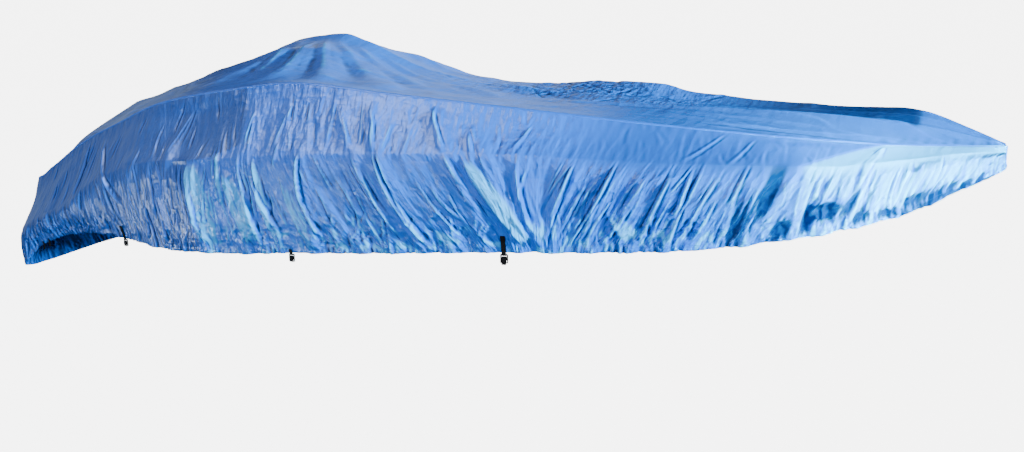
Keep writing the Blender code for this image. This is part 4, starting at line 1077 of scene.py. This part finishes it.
def new_material(name, roughness, specular=0.5, colour=(0.8, 0.8, 0.8)):
    made = bpy.data.materials.new(name)
    made.use_nodes = True
    shader = made.node_tree.nodes["Principled BSDF"]
    shader.inputs["Roughness"].default_value = roughness
    shader.inputs["Specular IOR Level"].default_value = specular
    shader.inputs["Base Color"].default_value = (*colour, 1)
    return made, made.node_tree, shader


def bumped(tree, height, distance, strength, below=None):
    """A bump of a height in metres, on top of an earlier one."""
    made = node(tree, "ShaderNodeBump", {"Strength": strength, "Distance": distance})
    tree.links.new(height, made.inputs["Height"])
    if below:
        tree.links.new(below, made.inputs["Normal"])
    return made.outputs["Normal"]


def crumpled(tree, texture, output, scale, distance, below):
    """A bump from a texture at a fixed scale of the cloth's coordinates, as high as the cloth is crumpled."""
    link = tree.links.new
    place = node(tree, "ShaderNodeTexCoord")
    stretched = node(tree, "ShaderNodeMapping", {"Scale": scale})
    link(place.outputs["UV"], stretched.inputs["Vector"])
    link(stretched.outputs["Vector"], texture.inputs["Vector"])
    crumple = node(tree, "ShaderNodeAttribute", attribute_name="crumple")
    height = node(tree, "ShaderNodeMath", operation="MULTIPLY")
    link(texture.outputs[output], height.inputs[0])
    link(crumple.outputs["Fac"], height.inputs[1])
    return bumped(tree, height.outputs["Value"], distance, BUMP_STRENGTH, below)


def cloth_colour(tree, place, painted_light_and_wear, deep, light):
    """Two blues in soft patches, paler where the coating is worn and where light is painted, and darker where
    shade is painted.
    """
    link = tree.links.new
    patches = node(tree, "ShaderNodeTexNoise", {"Scale": 1.7, "Detail": 4.0})
    link(place.outputs["Object"], patches.inputs["Vector"])
    mix = node(tree, "ShaderNodeMix", {"A": (*deep, 1), "B": (*light, 1)}, data_type="RGBA")
    link(patches.outputs["Fac"], mix.inputs["Factor"])
    colour = mix.outputs["Result"]
    dark = tuple(DARK_SHARE * part for part in deep)
    # the pale blue paints highlights and sunlight as well as worn crests; the dark one paints shade
    for (low, high), shade in ((WORN_AND_HIGHLIGHT_RANGE, WORN_AND_HIGHLIGHT_BLUE), (DARK_RANGE, dark)):
        amount = node(tree, "ShaderNodeMapRange", interpolation_type="SMOOTHSTEP")
        amount.inputs["From Min"].default_value, amount.inputs["From Max"].default_value = low, high
        link(painted_light_and_wear, amount.inputs["Value"])
        rub = node(tree, "ShaderNodeMix", {"B": (*shade, 1)}, data_type="RGBA")
        link(amount.outputs["Result"], rub.inputs["Factor"])
        link(colour, rub.inputs["A"])
        colour = rub.outputs["Result"]
    return colour


def coated_polyester(name, deep, light):
    """Thin woven polyester with a coating: its blues by painted light and shade and by worn crests, and a
    weave and fine creases in the bump.
    """
    made, tree, shader = new_material(name, 0.40)
    link = tree.links.new
    place = node(tree, "ShaderNodeTexCoord")
    painted_light_and_wear = node(tree, "ShaderNodeAttribute", attribute_name="painted_light_and_wear").outputs["Fac"]
    link(cloth_colour(tree, place, painted_light_and_wear, deep, light), shader.inputs["Base Color"])
    # less gloss where the painted shade is darkest
    ends = dict(zip(("From Min", "From Max", "To Min", "To Max"), DULL_RANGE + DULL_SPECULAR))
    dull = node(tree, "ShaderNodeMapRange", ends)
    link(painted_light_and_wear, dull.inputs["Value"])
    link(dull.outputs["Result"], shader.inputs["Specular IOR Level"])

    threads = node(tree, "ShaderNodeMath", operation="ADD")
    for direction, socket in (("X", 0), ("Y", 1)):
        wave = node(tree, "ShaderNodeTexWave", {"Scale": THREADS_SCALE}, bands_direction=direction)
        link(place.outputs["UV"], wave.inputs["Vector"])
        link(wave.outputs["Fac"], threads.inputs[socket])
    normal = bumped(tree, threads.outputs["Value"], THREADS_DEPTH, THREADS_STRENGTH)
    crinkle = node(tree, "ShaderNodeTexNoise", {"Scale": 60.0, "Detail": 3.0})
    link(place.outputs["Object"], crinkle.inputs["Vector"])
    normal = bumped(tree, crinkle.outputs["Fac"], CRINKLE_DEPTH, CRINKLE_STRENGTH, normal)
    for scale, distance in CREASE_BUMPS:
        crease = node(tree, "ShaderNodeTexNoise", noise_type="RIDGED_MULTIFRACTAL")
        for socket, value in CREASE_NOISE.items():
            crease.inputs[socket].default_value = value
        normal = crumpled(tree, crease, "Fac", scale, distance, normal)
    for scale, distance in FOLD_BUMPS:
        fold = node(tree, "ShaderNodeTexVoronoi", FOLD_CELLS, feature="F1", distance="MINKOWSKI")
        normal = crumpled(tree, fold, "Distance", scale, distance, normal)
    link(normal, shader.inputs["Normal"])
    return made


def textured_black(name, roughness, specular, colour, texture, strength, depth):
    """A black material with a bump from one texture. The texture: kind of node, scale and settings."""
    made, tree, shader = new_material(name, roughness, specular, colour)
    place = node(tree, "ShaderNodeTexCoord")
    kind, scale, settings = texture
    relief = node(tree, kind, {"Scale": scale}, **settings)
    tree.links.new(place.outputs["Object"], relief.inputs["Vector"])
    tree.links.new(bumped(tree, relief.outputs["Fac"], depth, strength), shader.inputs["Normal"])
    return made


def webbing_look():
    """Black polypropylene webbing with its ribbed weave."""
    ribs = ("ShaderNodeTexWave", 180.0, {"bands_direction": "Z"})
    return textured_black("webbing_black", 0.9, 0.15, (0.004, 0.004, 0.005), ribs, 0.6, 0.0004)


def plastic_look():
    """Black moulded plastic with a fine grain."""
    grain = ("ShaderNodeTexNoise", 1800.0, {})
    return textured_black("buckle_black", 0.35, 0.35, (0.005, 0.005, 0.006), grain, 0.25, 0.0002)


def thread_look():
    """Blue polyester thread."""
    return new_material("thread_blue", 0.5, 0.3, (0.002, 0.07, 0.38))[0]


# ---- camera, floor and light -------------------------------------------------------------------------
CAMERA_PLACE = (3.15, -3.56, -0.12)
CAMERA_TILT, CAMERA_TURN = math.radians(78), math.radians(30)
LENS, SENSOR = 28.125, 36.0
FLOOR_Z, FLOOR_RADIUS, FLOOR_GREY = -2.30, 60, 0.12
FLOOR_GLOW, BACKDROP_GLOW = 6.0, 6.0
WHITE = (1, 1, 1)
# Wide patches of sky without a place: name, direction of the light, width in degrees, strength, colour.
DOMES = (
    ("sky", (0.1, 0.3, -1.0), 150, 1.3, (0.62, 0.78, 1.0)),
    ("bounce", (0.0, 0.2, 1.0), 120, 0.18, (0.6, 0.8, 1.0)),
)
# Lamps: name, place, target, diameter, power, colour, spread in degrees, and whether it lights the cloth's
# own colour and shows in its gloss.
LAMPS = (
    ("key", (14.0, -1.8, 1.0), (0.6, -0.8, -0.4), 0.8, 8000, (0.92, 1.0, 0.9), 180, True, False),
    ("front", (2.0, -6.0, -1.3), (0.4, -0.9, -0.6), 3.0, 260, WHITE, 180, True, False),
    ("back", (-1.0, 5.0, 3.0), (0.3, 0.5, -0.4), 2.5, 60, WHITE, 180, True, False),
    ("gloss", (-1.6, -3.9, 2.9), (0.9, -0.9, -0.4), 2.6, 410, (0.65, 0.78, 1.0), 180, False, True),
    ("aft", (-6.0, 0.0, 0.0), (0.0, 0.0, -0.4), 6.0, 75, (0.60, 0.78, 1.0), 180, False, True),
    ("far", (-1.75, 3.4, 0.3), (1.0, -0.7, -0.3), 4.0, 60, (0.70, 0.84, 1.0), 180, False, True),
    ("low", (-2.8, -3.7, -2.15), (0.20, -0.95, -0.9), 1.2, 17, (0.70, 0.88, 1.0), 45, False, True),
    ("bow", (5.6, -1.3, -2.1), (3.15, -0.2, -0.70), 1.0, 32, (0.06, 1.0, 0.66), 20, True, True),
    ("tip", (5.2, -2.2, 1.2), (2.90, -0.40, -0.48), 0.5, 5, (0.25, 1.0, 0.80), 15, True, False),
)


def linked(name, data, place=(0, 0, 0), turn=(0, 0, 0)):
    """A new object of the scene."""
    made = bpy.data.objects.new(name, data)
    made.location = place
    made.rotation_euler = turn
    bpy.context.scene.collection.objects.link(made)
    return made


def add_camera():
    data = bpy.data.cameras.new("camera")
    data.lens, data.sensor_width = LENS, SENSOR
    bpy.context.scene.camera = linked("camera", data, CAMERA_PLACE, (CAMERA_TILT, 0, CAMERA_TURN))


def add_floor():
    shape = bmesh.new()
    bmesh.ops.create_circle(shape, cap_ends=True, segments=96, radius=FLOOR_RADIUS)
    mesh = bpy.data.meshes.new("floor")
    shape.to_mesh(mesh)
    shape.free()
    made, _, shader = new_material("floor_pale", 0.9, colour=(FLOOR_GREY,) * 3)
    shader.inputs["Emission Color"].default_value = (1, 1, 1, 1)
    shader.inputs["Emission Strength"].default_value = FLOOR_GLOW
    mesh.materials.append(made)
    floor = linked("floor", mesh, (0, 0, FLOOR_Z))
    floor.visible_diffuse = floor.visible_glossy = False


def add_world():
    world = bpy.data.worlds.new("studio")
    world.use_nodes = True
    background = world.node_tree.nodes["Background"]
    background.inputs["Color"].default_value = (1, 1, 1, 1)
    background.inputs["Strength"].default_value = BACKDROP_GLOW
    world.cycles_visibility.diffuse = world.cycles_visibility.glossy = False
    bpy.context.scene.world = world


def facing(direction):
    """The turn that points a light in a direction."""
    return Vector(direction).to_track_quat("-Z", "Y").to_euler()


def add_lights():
    for name, direction, width, strength, colour in DOMES:
        data = bpy.data.lights.new(name, "SUN")
        data.angle, data.energy, data.color = math.radians(width), strength, colour
        linked(name, data, turn=facing(direction))
    for name, place, target, size, power, colour, spread, on_colour, in_gloss in LAMPS:
        data = bpy.data.lights.new(name, "AREA")
        data.shape, data.size, data.energy, data.color = "DISK", size, power, colour
        data.spread = math.radians(spread)
        lamp = linked(name, data, place, facing(Vector(target) - Vector(place)))
        lamp.visible_camera, lamp.visible_diffuse, lamp.visible_glossy = False, on_colour, in_gloss


# ---- the scene ---------------------------------------------------------------------------------------
add_camera()
add_floor()
add_world()
add_lights()

deck_look = coated_polyester("deck_cloth", (0.001, 0.125, 0.68), (0.002, 0.175, 0.85))
side_look = coated_polyester("side_cloth", (0.001, 0.100, 0.62), (0.002, 0.145, 0.78))

deck_points, *deck_layers = deck_surface()
deck = cloth_object("deck_cloth", deck_points, *deck_layers, deck_look, flip=False)
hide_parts("deck_panel")
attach(deck, "root")
thread = thread_look()
panel_points = []
for side_name, side in (("starboard", -1), ("port", 1)):
    points, *layers = side_surface(side)
    panel = cloth_object(f"side_cloth_{side_name}", points, *layers, side_look, flip=side < 0)
    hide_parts(f"side_panel_{side_name}")
    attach(panel, "root")
    seam = deck_seam_lines(side, points, deck_points)
    low, middle, high, out = seam
    tape = seam_tape(f"seam_{side_name}", seam, side_look)
    rows = [(STITCH_ROW * edge + (1 - STITCH_ROW) * middle + SEAM_RISE * out, out) for edge in (low, high)]
    sewing = stitching(f"stitches_{side_name}", rows + [hem_line(points, side)], thread)
    for piece in (tape, sewing):
        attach(piece, "root")
    panel_points.append(points)

for name, at_bow in (("seam_transom", False), ("seam_bow", True)):
    tape = seam_tape(name, end_seam_lines(panel_points, at_bow), side_look)
    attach(tape, "root")

webbing, plastic = webbing_look(), plastic_look()
for name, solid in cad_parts.items():
    if name.startswith(("tab_", "webbing_", "buckle_")):
        solid.data.materials.clear()
        solid.data.materials.append(plastic if name.startswith("buckle_") else webbing)
